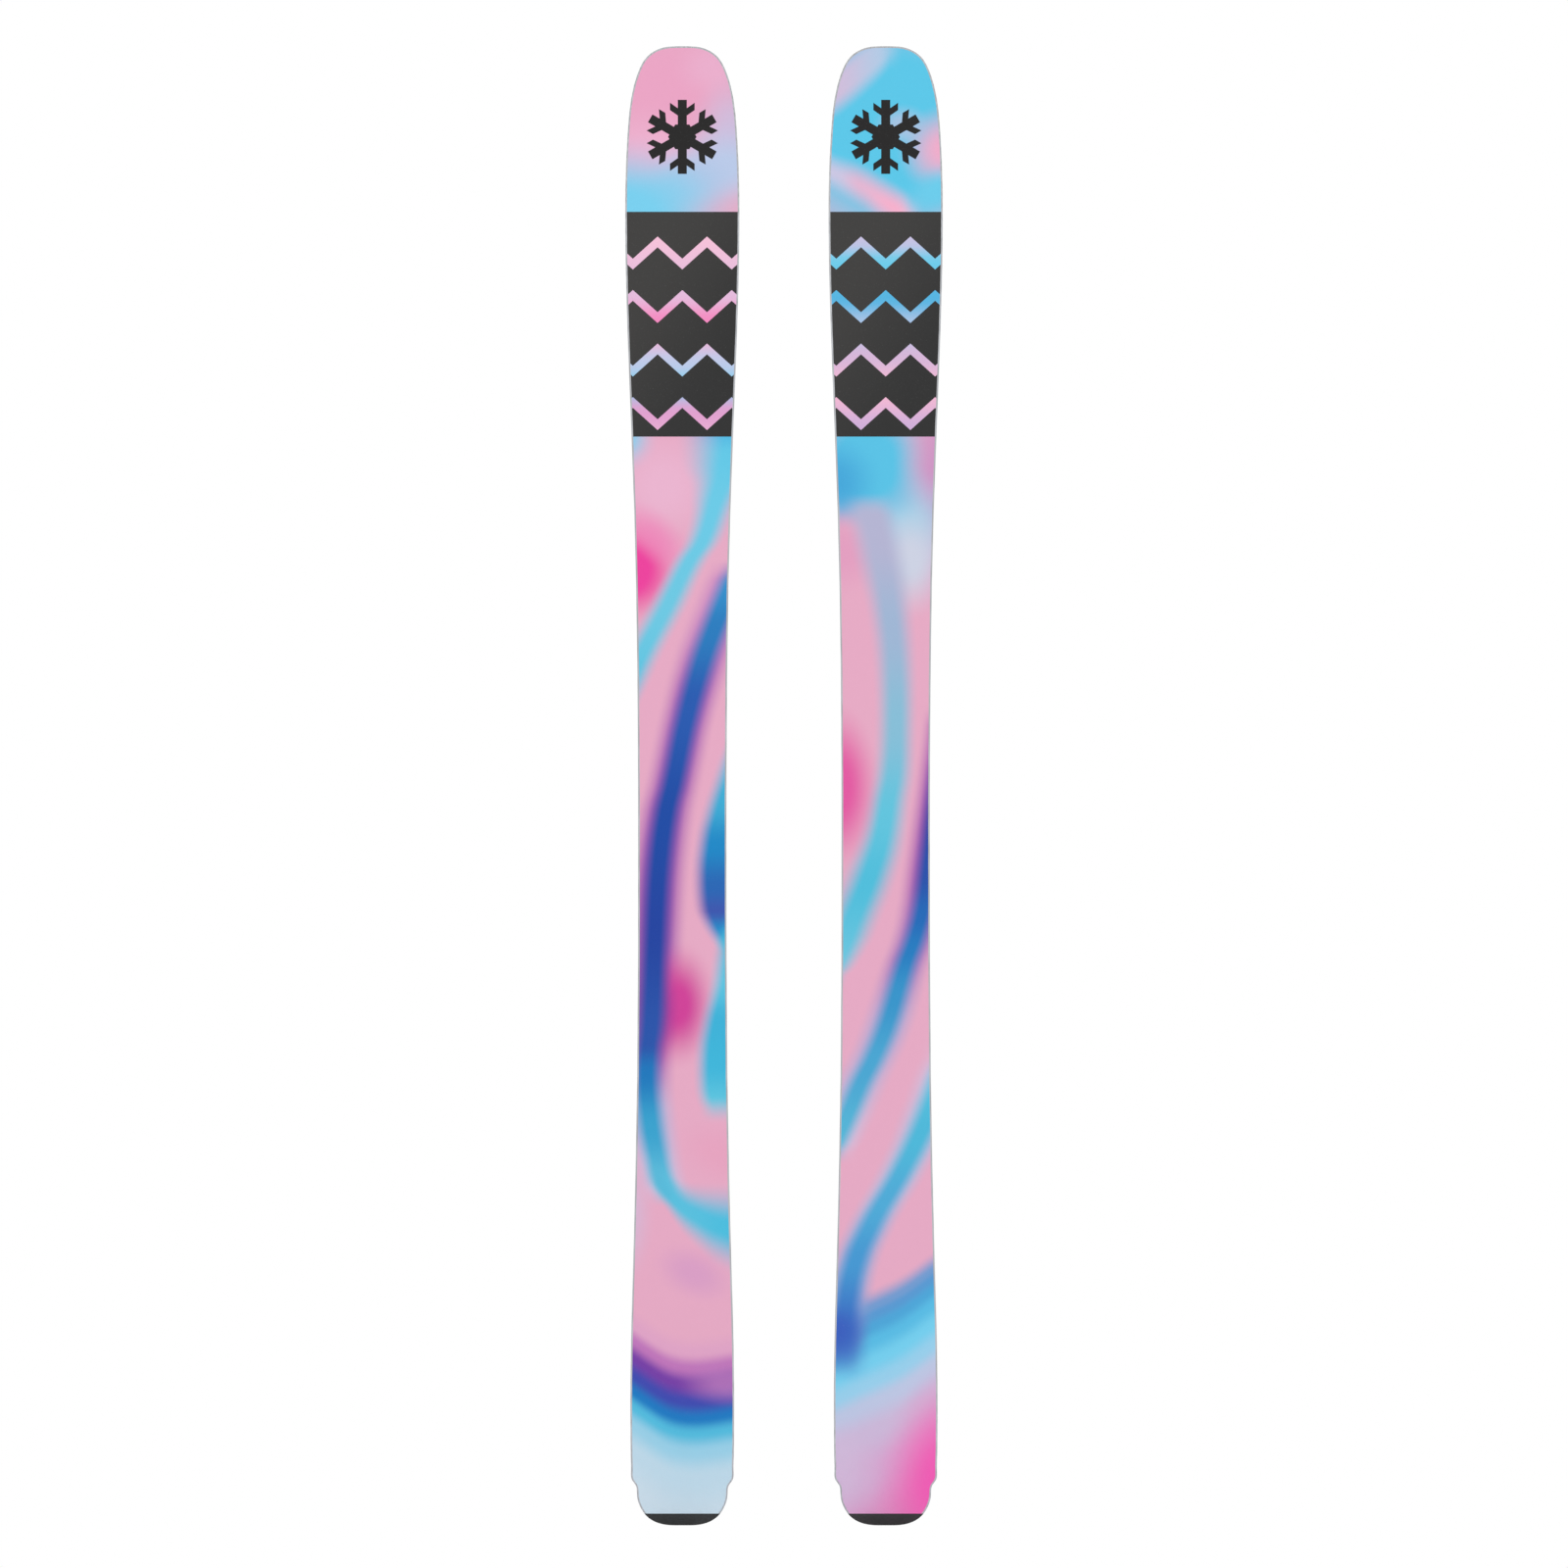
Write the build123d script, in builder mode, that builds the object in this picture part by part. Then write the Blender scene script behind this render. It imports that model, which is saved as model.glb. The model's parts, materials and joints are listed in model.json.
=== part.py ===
from build123d import *
import math
import os

os.makedirs("parts", exist_ok=True)

# A pair of freeride skis with alpine bindings, upright on their tails: the running bases face -Y, the
# bindings +Y, and the tips point +Z. The origin is midway between the two boot-centre marks, on the
# plane of the bases. Every piece is drawn on the centre line x = 0 and copied to the two skis.

# --- driving dimensions, mm -----------------------------------------------------------------------
SKI_LENGTH = 1796.0
SKI_SPACING = 247.0          # between the two centre lines
BOOT_CENTRE = 833.0          # from the tail's end up to the boot-centre mark
TIP_HALF = 69.3              # half widths at the widest tip, the waist and the widest tail
WAIST_HALF = 53.5
TAIL_HALF = 63.0
TIP_WIDEST = 1595.0          # heights above the tail's end
WAIST_HEIGHT = 792.0
TAIL_WIDEST = 149.0
TAIL_CONTACT = 260.0         # the base leaves the plane here and curves up to the ends
TIP_CONTACT = 1340.0
TAIL_RISE = 22.0
TIP_RISE = 62.0
PLATEAU_LOW = 540.0          # full thickness between these heights, for the bindings
PLATEAU_HIGH = 1080.0
THICK_MIDDLE = 13.0
THICK_END = 5.0
CAP_HEIGHT = 14.3            # tail protector
END_FLAT = 6.0               # half width of the straight bit at the very tail and tip

EDGE_THICK = 1.9             # the running base and the edges beside it
EDGE_WIDE = 2.0
LOWER_LAMINATE_TOP = 2.5
SIDEWALL_WIDE = 6.0
UPPER_LAMINATE_DEPTH = 1.4   # below the topsheet's face
TOPSHEET_DEPTH = 0.6

BOOT_HALF = 157.5            # half of a 315 mm sole
SOLE_TOE_HEIGHT = 24.0       # the sole's underside above the topsheet
TOE_LUG_TOP = 43.0
HEEL_LUG_TOP = 57.0

GAP = 0.3                    # between pieces that move past each other
FIT = 0.05                   # radial clearance of a running pin

SIDES = {"left": -SKI_SPACING / 2, "right": SKI_SPACING / 2}


# --- helpers --------------------------------------------------------------------------------------
def keep(piece, name):
    """Write the piece once for each ski."""
    for side, centre in SIDES.items():
        with BuildPart() as placed:
            with Locations((centre, 0, 0)):
                add(piece.part)
        placed.part.label = f"{side}_{name}"
        export_step(placed.part, f"parts/{side}_{name}.step")


def keep_pair(make, name):
    """Write a handed piece, made by make(hand), for both hands and both skis."""
    keep(make(-1), f"{name}_left")
    keep(make(1), f"{name}_right")


def above(height):
    """Sketch plane parallel to the topsheet, at a height over it: local x is X and local y is Z."""
    return Plane.XZ.offset(-(THICK_MIDDLE + height))


def rise(height):
    """How far the base curves away from its plane at a height above the tail's end."""
    if height < TAIL_CONTACT:
        return TAIL_RISE * ((TAIL_CONTACT - height) / TAIL_CONTACT) ** 2
    if height > TIP_CONTACT:
        return TIP_RISE * ((height - TIP_CONTACT) / (SKI_LENGTH - TIP_CONTACT)) ** 2
    return 0.0


def thickness(height):
    """The ski's thickness, full on the plateau and easing down to both ends."""
    if height < PLATEAU_LOW:
        part = max(height / PLATEAU_LOW, 0.0)
    elif height > PLATEAU_HIGH:
        part = max((SKI_LENGTH - height) / (SKI_LENGTH - PLATEAU_HIGH), 0.0)
    else:
        part = 1.0
    return THICK_END + (THICK_MIDDLE - THICK_END) * part * part * (3 - 2 * part)


def over_base(distance):
    """A layer boundary at a constant distance from the base."""
    return lambda height: distance


def under_top(depth):
    """A layer boundary at a constant depth under the topsheet's face."""
    return lambda height: thickness(height) - depth


def boundary_point(boundary, height):
    step = 0.5
    slope = (rise(height + step) - rise(height - step)) / (2 * step)
    across = rise(height) + boundary(height) * math.hypot(1.0, slope)
    return (across, height - BOOT_CENTRE)


def boundary_line(boundary, low, high):
    """The boundary's line in the Y-Z plane, one straight bit or spline between each pair of stations."""
    stations = [low]
    stations += [h for h in (TAIL_CONTACT, PLATEAU_LOW, PLATEAU_HIGH, TIP_CONTACT) if low < h < high]
    stations += [high]
    pieces = []
    for start, end in zip(stations, stations[1:]):
        points = [boundary_point(boundary, start + (end - start) * k / 4) for k in range(5)]
        if max(point[0] for point in points) - min(point[0] for point in points) < 1e-6:
            pieces.append(Line(points[0], points[-1]))
            continue
        ends = []
        for low_side, high_side in ((start, start + 0.5), (end - 0.5, end)):
            before = boundary_point(boundary, low_side)
            after = boundary_point(boundary, high_side)
            ends.append((after[0] - before[0], after[1] - before[1]))
        pieces.append(Spline(*points, tangents=ends))
    return pieces


# The right half of the plan outline, from the tail's end up to the tip's end.
TAIL_CURVE = Spline((END_FLAT, -BOOT_CENTRE), (37, 6.5 - BOOT_CENTRE), (49, 18.4 - BOOT_CENTRE),
                    (57.2, 54 - BOOT_CENTRE), (TAIL_HALF, TAIL_WIDEST - BOOT_CENTRE),
                    tangents=[(1, 0), (0, 1)])
SIDE_CURVE = Spline((TAIL_HALF, TAIL_WIDEST - BOOT_CENTRE), (58.3, 363 - BOOT_CENTRE),
                    (WAIST_HALF, WAIST_HEIGHT - BOOT_CENTRE), (59.5, 1268 - BOOT_CENTRE),
                    (TIP_HALF, TIP_WIDEST - BOOT_CENTRE), tangents=[(0, 1), (0, 1)])
TIP_CURVE = Spline((TIP_HALF, TIP_WIDEST - BOOT_CENTRE), (66, 1696 - BOOT_CENTRE),
                   (56.5, 1756 - BOOT_CENTRE), (41.7, 1784.4 - BOOT_CENTRE),
                   (END_FLAT, SKI_LENGTH - BOOT_CENTRE), tangents=[(0, 1), (-1, 0)])


def inset_curve(curve, amount, spans):
    """The curve moved to its left by amount, as a smooth line through evenly spaced points."""
    points = []
    for k in range(spans + 1):
        along = curve % (k / spans)
        points.append(curve @ (k / spans) + Vector(-along.Y, along.X) * amount)
    return Spline(*points, tangents=[curve % 0, curve % 1])


def footprint(outer, inner=None):
    """The ski's plan outline moved in by outer, with the outline moved in by inner cut out of it."""
    with BuildSketch(Plane.XZ.offset(10)) as sketch:
        for amount, mode in ((outer, Mode.ADD), (inner, Mode.SUBTRACT)):
            if amount is not None:
                with BuildLine():
                    tail = inset_curve(TAIL_CURVE, amount, 14)
                    inset_curve(SIDE_CURVE, amount, 8)
                    tip = inset_curve(TIP_CURVE, amount, 12)
                    Line((0, (tail @ 0).Y), tail @ 0)
                    Line(tip @ 1, (0, (tip @ 1).Y))
                    mirror(about=Plane.YZ)
                make_face(mode=mode)
    return sketch


def slab(plan, lower, upper, low=CAP_HEIGHT, high=SKI_LENGTH + 6):
    """One layer of the ski: a plan outline between two boundaries."""
    with BuildPart() as layer:
        with BuildSketch(Plane.YZ.offset(-TIP_HALF - 10)):
            with BuildLine():
                bottom = boundary_line(lower, low, high)
                top = boundary_line(upper, low, high)
                Line(bottom[0] @ 0, top[0] @ 0)
                Line(bottom[-1] @ 1, top[-1] @ 1)
            make_face()
        extrude(amount=2 * (TIP_HALF + 10))
        extrude(plan.sketch, amount=TIP_RISE + 60, dir=(0, 1, 0), mode=Mode.INTERSECT)
    return layer


# --- the binding screws and their holes -------------------------------------------------------------
SCREW_RADIUS = 2.75
SCREW_HEAD_RADIUS = 5.0
SCREW_SEAT = 3.0             # height of the heads' seats over the topsheet
SCREW_HEAD_HIGH = 2.6
SCREW_BITE = 9.0             # how deep the screws go into the ski
TOE_SCREWS = [(x, z) for x in (-20, 20) for z in (152, 224)]
HEEL_SCREWS = [(x, z) for x in (-21, 21) for z in (-168, -273)]
ALL_SCREWS = TOE_SCREWS + HEEL_SCREWS


def drill_ski():
    """Cut the eight pilot holes through the layer being built."""
    with BuildSketch(above(1)) as holes:
        with Locations(*ALL_SCREWS):
            Circle(SCREW_RADIUS)
    extrude(holes.sketch, amount=SCREW_BITE + 1, dir=(0, -1, 0), mode=Mode.SUBTRACT)


def drill_plate(screws, thick):
    """Cut the screws' holes and the seats of their heads in a binding plate of that thickness."""
    for radius, depth in ((SCREW_RADIUS, thick + 2), (SCREW_HEAD_RADIUS + 0.1, thick + 1 - SCREW_SEAT)):
        with BuildSketch(above(thick + 1)) as holes:
            with Locations(*screws):
                Circle(radius)
        extrude(holes.sketch, amount=depth, dir=(0, -1, 0), mode=Mode.SUBTRACT)


with BuildPart() as mounting_screws:
    with BuildSketch(above(SCREW_SEAT)):
        with Locations(*ALL_SCREWS):
            Circle(SCREW_RADIUS)
    extrude(amount=SCREW_SEAT + SCREW_BITE)
    with BuildSketch(above(SCREW_SEAT)):
        with Locations(*ALL_SCREWS):
            Circle(SCREW_HEAD_RADIUS)
    extrude(amount=-SCREW_HEAD_HIGH)
    with BuildSketch(above(SCREW_SEAT + SCREW_HEAD_HIGH)):
        with Locations(*ALL_SCREWS):
            Rectangle(6.2, 1.3)
            Rectangle(1.3, 6.2)
    extrude(amount=1.6, mode=Mode.SUBTRACT)
keep(mounting_screws, "mounting_screws")

# --- the ski's layers -------------------------------------------------------------------------------
base = slab(footprint(EDGE_WIDE), over_base(0), over_base(EDGE_THICK))
keep(base, "base")

edges = slab(footprint(0, EDGE_WIDE), over_base(0), over_base(EDGE_THICK))
keep(edges, "edges")

lower_laminate = slab(footprint(0), over_base(EDGE_THICK), over_base(LOWER_LAMINATE_TOP))
keep(lower_laminate, "lower_laminate")

core_block = slab(footprint(SIDEWALL_WIDE), over_base(LOWER_LAMINATE_TOP), under_top(UPPER_LAMINATE_DEPTH))
with BuildPart() as core:
    add(core_block.part)
    drill_ski()
keep(core, "core")

sidewalls = slab(footprint(0, SIDEWALL_WIDE), over_base(LOWER_LAMINATE_TOP), under_top(UPPER_LAMINATE_DEPTH))
keep(sidewalls, "sidewalls")

upper_sheet = slab(footprint(0), under_top(UPPER_LAMINATE_DEPTH), under_top(TOPSHEET_DEPTH))
with BuildPart() as upper_laminate:
    add(upper_sheet.part)
    drill_ski()
keep(upper_laminate, "upper_laminate")

top_skin = slab(footprint(0), under_top(TOPSHEET_DEPTH), under_top(0))
with BuildPart() as topsheet:
    add(top_skin.part)
    drill_ski()
keep(topsheet, "topsheet")

tail_protector = slab(footprint(0), over_base(0), under_top(0), low=-6, high=CAP_HEIGHT)
keep(tail_protector, "tail_protector")

# --- toe: base plate, housing, wings, spring, friction plate -----------------------------------------
TOE_PLATE_THICK = 6.0
PEDESTAL_TOP = 18.0
FRICTION_Z = 121.0           # middle of the friction plate
GROOVE_HALF = 5.0            # half width of the plate's guide, at its neck and at its foot
GROOVE_FOOT_HALF = 8.0
GROOVE_NECK = 15.0           # height where the guide widens to its foot
GROOVE_FLOOR = 12.0
WING_PIVOT = (22.0, 174.0)   # x and z of the wings' pins
WING_LOW = 28.0
WING_HIGH = 50.0
BARREL_HEIGHT = 38.5         # axis of the release spring over the topsheet
SPRING_BORE = 9.6

with BuildPart() as toe_base:
    with BuildSketch(above(0)):
        with Locations((0, 165)):
            RectangleRounded(64, 134, 12)
    extrude(amount=-TOE_PLATE_THICK)
    fillet(toe_base.faces().sort_by(Axis.Y)[-1].edges(), 1.5)
    with BuildSketch(above(TOE_PLATE_THICK - 1)):
        with Locations((0, FRICTION_Z)):
            RectangleRounded(56, 42, 6)
    extrude(amount=-(PEDESTAL_TOP - TOE_PLATE_THICK + 1))
    with BuildSketch(above(GROOVE_FLOOR)):
        with Locations((0, FRICTION_Z)):
            Rectangle(70, 2 * GROOVE_FOOT_HALF)
    extrude(amount=-(GROOVE_NECK - GROOVE_FLOOR), mode=Mode.SUBTRACT)
    with BuildSketch(above(GROOVE_FLOOR)):
        with Locations((0, FRICTION_Z)):
            Rectangle(70, 2 * GROOVE_HALF)
    extrude(amount=-(PEDESTAL_TOP - GROOVE_FLOOR + 1), mode=Mode.SUBTRACT)
    drill_plate(TOE_SCREWS, TOE_PLATE_THICK)
keep(toe_base, "toe_base")

with BuildPart() as friction_plate:
    with BuildSketch(above(PEDESTAL_TOP + GAP)):
        with Locations((0, FRICTION_Z)):
            RectangleRounded(62, 40, 6)
    extrude(amount=-(SOLE_TOE_HEIGHT - PEDESTAL_TOP - GAP))
    fillet(friction_plate.faces().sort_by(Axis.Y)[-1].edges(), 1.2)
    with BuildSketch(above(GROOVE_FLOOR + GAP)):
        with Locations((0, FRICTION_Z)):
            Rectangle(46, 2 * (GROOVE_HALF - GAP))
    extrude(amount=-(PEDESTAL_TOP - GROOVE_FLOOR + 1))
    with BuildSketch(above(GROOVE_FLOOR + GAP)):
        with Locations((0, FRICTION_Z)):
            Rectangle(46, 2 * (GROOVE_FOOT_HALF - GAP))
    extrude(amount=-(GROOVE_NECK - GROOVE_FLOOR - 2 * GAP))
keep(friction_plate, "toe_friction_plate")

HOUSING_LOW_TOP = WING_LOW - 0.5
HOUSING_ROOF = WING_HIGH + 0.5
HOUSING_TOP = 61.0
HOUSING_FRONT = 216.0
HOUSING_BACK = 164.0
PIN_RADIUS = 2.5
PIN_LOW = 16.0
PIN_HIGH = 57.0

with BuildPart() as toe_housing:
    with BuildSketch(above(TOE_PLATE_THICK)):
        with Locations((0, (HOUSING_FRONT + HOUSING_BACK) / 2)):
            RectangleRounded(60, HOUSING_FRONT - HOUSING_BACK, 14)
    extrude(amount=-(HOUSING_LOW_TOP - TOE_PLATE_THICK))
    with BuildSketch(above(HOUSING_ROOF)):
        with Locations((0, (HOUSING_FRONT + HOUSING_BACK) / 2)):
            RectangleRounded(60, HOUSING_FRONT - HOUSING_BACK, 14)
    extrude(amount=-(HOUSING_TOP - HOUSING_ROOF))
    fillet(toe_housing.faces().sort_by(Axis.Y)[-1].edges(), 4)
    with BuildSketch(above(HOUSING_LOW_TOP - 1)):
        with Locations((0, 191)):
            Rectangle(26, 46)
        with Locations((0, 204)):
            Rectangle(46, 20)
    extrude(amount=-(HOUSING_ROOF - HOUSING_LOW_TOP + 2))
    # screw head's recess, thread and spring bore, in from the front
    for radius, front, back in ((8.6, 217, 211), (4.0, 211, 203), (SPRING_BORE, 203, 170)):
        with BuildSketch(Plane.XY.offset(back)):
            with Locations((0, THICK_MIDDLE + BARREL_HEIGHT)):
                Circle(radius)
        extrude(amount=front - back, mode=Mode.SUBTRACT)
    with BuildSketch(above(PIN_HIGH)):
        with Locations((WING_PIVOT[0], WING_PIVOT[1]), (-WING_PIVOT[0], WING_PIVOT[1])):
            Circle(PIN_RADIUS)
    extrude(amount=PIN_HIGH - PIN_LOW, mode=Mode.SUBTRACT)
keep(toe_housing, "toe_housing")

with BuildPart() as wing_pins:
    with BuildSketch(above(PIN_HIGH)):
        with Locations((WING_PIVOT[0], WING_PIVOT[1]), (-WING_PIVOT[0], WING_PIVOT[1])):
            Circle(PIN_RADIUS)
    extrude(amount=PIN_HIGH - PIN_LOW)
keep(wing_pins, "toe_wing_pins")

JAW_CENTRE = 122.0           # z of the centre of the boot toe's curve
JAW_INNER = 36.6
JAW_OUTER = 43.5
JAW_LIP = 30.0
LIP_LOW = TOE_LUG_TOP + 1.0


def jaw_sector(hand, inner, outer):
    """Ring sector round the boot's toe, from beside it to just short of its middle."""
    def ray(radius, degrees):
        turn = math.radians(degrees)
        return (hand * radius * math.cos(turn), JAW_CENTRE + radius * math.sin(turn))

    with BuildSketch(mode=Mode.PRIVATE) as sector:
        with BuildLine():
            far = ThreePointArc(ray(outer, 18), ray(outer, 46), ray(outer, 74))
            near = ThreePointArc(ray(inner, 18), ray(inner, 46), ray(inner, 74))
            Line(far @ 0, near @ 0)
            Line(far @ 1, near @ 1)
        make_face()
    return sector.sketch


def toe_wing(hand):
    x, z = hand * WING_PIVOT[0], WING_PIVOT[1]
    with BuildPart() as wing:
        with BuildSketch(above(WING_LOW)):
            add(jaw_sector(hand, JAW_INNER, JAW_OUTER))
            with Locations((x, z)):
                Circle(7)
            with BuildLine():
                Polyline((x - hand * 7, z), (hand * 14, 161.5), (hand * 33, 150), (x + hand * 7, z), close=True)
            make_face()
        extrude(amount=-(WING_HIGH - WING_LOW))
        with BuildSketch(above(LIP_LOW)):
            add(jaw_sector(hand, JAW_LIP, JAW_INNER + 1))
        extrude(amount=-(WING_HIGH - LIP_LOW))
        with BuildSketch(above(WING_HIGH)):
            with Locations((x, z)):
                Circle(PIN_RADIUS + FIT)
        extrude(amount=WING_HIGH - WING_LOW, mode=Mode.SUBTRACT)
    return wing


keep_pair(toe_wing, "toe_wing")


def coil_spring(height, low, high, radius, wire, turns):
    """Round-wire spring along Z, between low and high."""
    with BuildPart() as spring:
        with BuildLine():
            helix = Helix((high - low) / turns, high - low, radius, center=(0, THICK_MIDDLE + height, low))
        with BuildSketch(Plane(origin=helix @ 0, z_dir=helix % 0)):
            Circle(wire)
        sweep(is_frenet=True)
    return spring


def release_screw(height, head_radius, head_low, head_high, tip):
    """Slotted adjusting screw along Z, its head between head_low and head_high."""
    outward = 1 if head_high > head_low else -1
    with BuildPart() as screw:
        with BuildSketch(Plane.XY.offset(tip)):
            with Locations((0, THICK_MIDDLE + height)):
                Circle(4.0)
        extrude(amount=head_low - tip)
        with BuildSketch(Plane.XY.offset(head_low)):
            with Locations((0, THICK_MIDDLE + height)):
                Circle(head_radius)
        extrude(amount=head_high - head_low)
        with BuildSketch(Plane.XY.offset(head_high)):
            with Locations((0, THICK_MIDDLE + height)):
                Rectangle(2 * head_radius - 2, 1.8)
        extrude(amount=-outward * 2.0, mode=Mode.SUBTRACT)
    return screw


keep(coil_spring(BARREL_HEIGHT, 173, 199, 7.0, 1.3, 5), "toe_spring")
keep(release_screw(BARREL_HEIGHT, 8.5, 211, 217.5, 203), "toe_release_screw")

# --- heel: track, carriage, housing, lever, pins, spring ---------------------------------------------
TRACK_THICK = 6.0
RAIL_TOP = 13.0
RAIL_NECK = 9.5              # the rail's head starts here
RAIL_HALF = 16.0
RAIL_NECK_HALF = 11.0
TRACK_FRONT = -155.0
TRACK_BACK = -285.0
CARRIAGE_FRONT = -176.0
CARRIAGE_BACK = -262.0
CARRIAGE_TOP = 25.0
HEEL_PIVOT = (36.0, -238.0)  # height over the topsheet and z
HEEL_PIN_RADIUS = 3.0
LEVER_PIVOT = (68.0, -243.0)
LEVER_PIN_RADIUS = 2.5


def side_point(height, z):
    """A point of a side view, drawn on the Y-Z plane."""
    return (THICK_MIDDLE + height, z)


with BuildPart() as heel_track:
    with BuildSketch(above(0)):
        with Locations((0, (TRACK_FRONT + TRACK_BACK) / 2)):
            RectangleRounded(58, TRACK_FRONT - TRACK_BACK, 3)
    extrude(amount=-TRACK_THICK)
    for half, low, high in ((RAIL_NECK_HALF, TRACK_THICK - 1, RAIL_NECK + 1), (RAIL_HALF, RAIL_NECK, RAIL_TOP)):
        with BuildSketch(above(low)):
            with Locations((0, (TRACK_FRONT + TRACK_BACK) / 2)):
                Rectangle(2 * half, TRACK_FRONT - TRACK_BACK - 6)
        extrude(amount=-(high - low))
    drill_plate(HEEL_SCREWS, TRACK_THICK)
keep(heel_track, "heel_track")

with BuildPart() as heel_carriage:
    with BuildSketch(above(TRACK_THICK + GAP)):
        with Locations((0, (CARRIAGE_FRONT + CARRIAGE_BACK) / 2)):
            RectangleRounded(60, CARRIAGE_FRONT - CARRIAGE_BACK, 5)
    extrude(amount=-(CARRIAGE_TOP - TRACK_THICK - GAP))
    with BuildSketch(Plane.YZ.offset(24.5)):
        with BuildLine():
            Polyline(side_point(CARRIAGE_TOP - 2, -222), side_point(HEEL_PIVOT[0], -228.5),
                     side_point(HEEL_PIVOT[0], -247.5), side_point(CARRIAGE_TOP - 2, -256), close=True)
        make_face()
        with Locations(side_point(*HEEL_PIVOT)):
            Circle(9.5)
    extrude(amount=5.5)
    mirror(about=Plane.YZ)
    for half, low, high in ((RAIL_NECK_HALF, TRACK_THICK, RAIL_NECK), (RAIL_HALF, RAIL_NECK - GAP, RAIL_TOP)):
        with BuildSketch(above(low)):
            with Locations((0, (CARRIAGE_FRONT + CARRIAGE_BACK) / 2)):
                Rectangle(2 * (half + GAP), 100)
        extrude(amount=-(high + GAP - low), mode=Mode.SUBTRACT)
    with BuildSketch(Plane.YZ):
        with Locations(side_point(*HEEL_PIVOT)):
            Circle(HEEL_PIN_RADIUS)
    extrude(amount=40, both=True, mode=Mode.SUBTRACT)
keep(heel_carriage, "heel_carriage")

with BuildPart() as heel_pivot_pins:
    with BuildSketch(Plane.YZ.offset(15)):
        with Locations(side_point(*HEEL_PIVOT)):
            Circle(HEEL_PIN_RADIUS)
    extrude(amount=15)
    mirror(about=Plane.YZ)
keep(heel_pivot_pins, "heel_pivot_pins")

HOUSING_HALF = 24.0
CUP_RADIUS = 35.3
CUP_CENTRE = -BOOT_HALF - GAP + CUP_RADIUS
HEEL_SPRING_HEIGHT = 50.0
LEVER_SLOT_HALF = 14.0

with BuildPart() as heel_housing:
    with BuildSketch(Plane.YZ):
        with BuildLine():
            Polyline(side_point(27, -148), side_point(64, -148), side_point(76, -172), side_point(76, -236),
                     side_point(66, -247), side_point(36, -247), side_point(27, -238), close=True)
        make_face()
        with Locations(side_point(*HEEL_PIVOT)):
            Circle(9)
    extrude(amount=HOUSING_HALF, both=True)
    with BuildSketch(above(20)):
        with Locations((0, CUP_CENTRE)):
            Circle(CUP_RADIUS)
    extrude(amount=-(HEEL_LUG_TOP + 0.5 - 20), mode=Mode.SUBTRACT)
    for radius, back, front in ((SPRING_BORE, -228, -176), (4.0, -250, -228)):
        with BuildSketch(Plane.XY.offset(back)):
            with Locations((0, THICK_MIDDLE + HEEL_SPRING_HEIGHT)):
                Circle(radius)
        extrude(amount=front - back, mode=Mode.SUBTRACT)
    with BuildSketch(Plane.YZ):
        with BuildLine():
            Polyline(side_point(61, -252), side_point(61, -236), side_point(80, -236), side_point(80, -252),
                     close=True)
        make_face()
    extrude(amount=LEVER_SLOT_HALF, both=True, mode=Mode.SUBTRACT)
    for radius, place in ((HEEL_PIN_RADIUS + FIT, HEEL_PIVOT), (LEVER_PIN_RADIUS + FIT, LEVER_PIVOT)):
        with BuildSketch(Plane.YZ):
            with Locations(side_point(*place)):
                Circle(radius)
        extrude(amount=30, both=True, mode=Mode.SUBTRACT)
keep(heel_housing, "heel_housing")

with BuildPart() as heel_lever:
    with BuildSketch(Plane.YZ):
        with BuildLine():
            Polyline(side_point(LEVER_PIVOT[0] + 5.5, LEVER_PIVOT[1]), side_point(92, -292),
                     side_point(86, -296), side_point(LEVER_PIVOT[0] - 3, -250.5),
                     side_point(LEVER_PIVOT[0] - 5.5, LEVER_PIVOT[1]), close=True)
        make_face()
        with Locations(side_point(*LEVER_PIVOT)):
            Circle(5.5)
    extrude(amount=LEVER_SLOT_HALF - GAP, both=True)
    with BuildSketch(Plane.YZ):
        with BuildLine():
            Polyline(side_point(81, -262), side_point(92, -292), side_point(86, -296), side_point(73, -261),
                     close=True)
        make_face()
    extrude(amount=20, both=True)
    with BuildSketch(Plane.YZ):
        with Locations(side_point(*LEVER_PIVOT)):
            Circle(LEVER_PIN_RADIUS)
    extrude(amount=HOUSING_HALF - 1, both=True)
keep(heel_lever, "heel_lever")

keep(coil_spring(HEEL_SPRING_HEIGHT, -224, -180, 7.5, 1.5, 6), "heel_spring")
keep(release_screw(HEEL_SPRING_HEIGHT, 7.5, -247, -251, -228), "heel_release_screw")

# --- brake: base, pedal, wire arms and shoes ---------------------------------------------------------
BRAKE_Z = -112.0             # z of the arms' pivots
BRAKE_FRONT = -78.0
PEDAL_HINGE = (18.0, -88.0)
PEDAL_LOW = 21.0
PEDAL_HIGH = 26.5
PEDAL_BACK = -145.0
PEDAL_HALF = 22.5
PEDAL_PIN_RADIUS = 2.5
EAR_INNER = 23.0
EAR_OUTER = 28.0
WIRE = 2.75
ARM_PIVOT = Vector(31.0, THICK_MIDDLE + 9.5, BRAKE_Z)
ARM_AXIS = Vector(-0.66, -0.40, -0.635).normalized()
ARM_KNEE = Vector(49.0, THICK_MIDDLE + 32.0, BRAKE_Z - 5)
ARM_END = Vector(48.0, THICK_MIDDLE + 25.0, BRAKE_Z - 98)
BOSS_START = 5.0             # along the axis, inboard from the pivot
BOSS_END = 12.0
SHOE_LENGTH = 34.0
SHOE_OVER = 4.0              # how far the shoe reaches past the wire's end

with BuildPart() as boss_pair:
    with BuildSketch(Plane(origin=ARM_PIVOT + ARM_AXIS * BOSS_START, z_dir=ARM_AXIS)):
        Circle(5.5)
    extrude(amount=BOSS_END - BOSS_START + 1)
    mirror(about=Plane.YZ)

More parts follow.
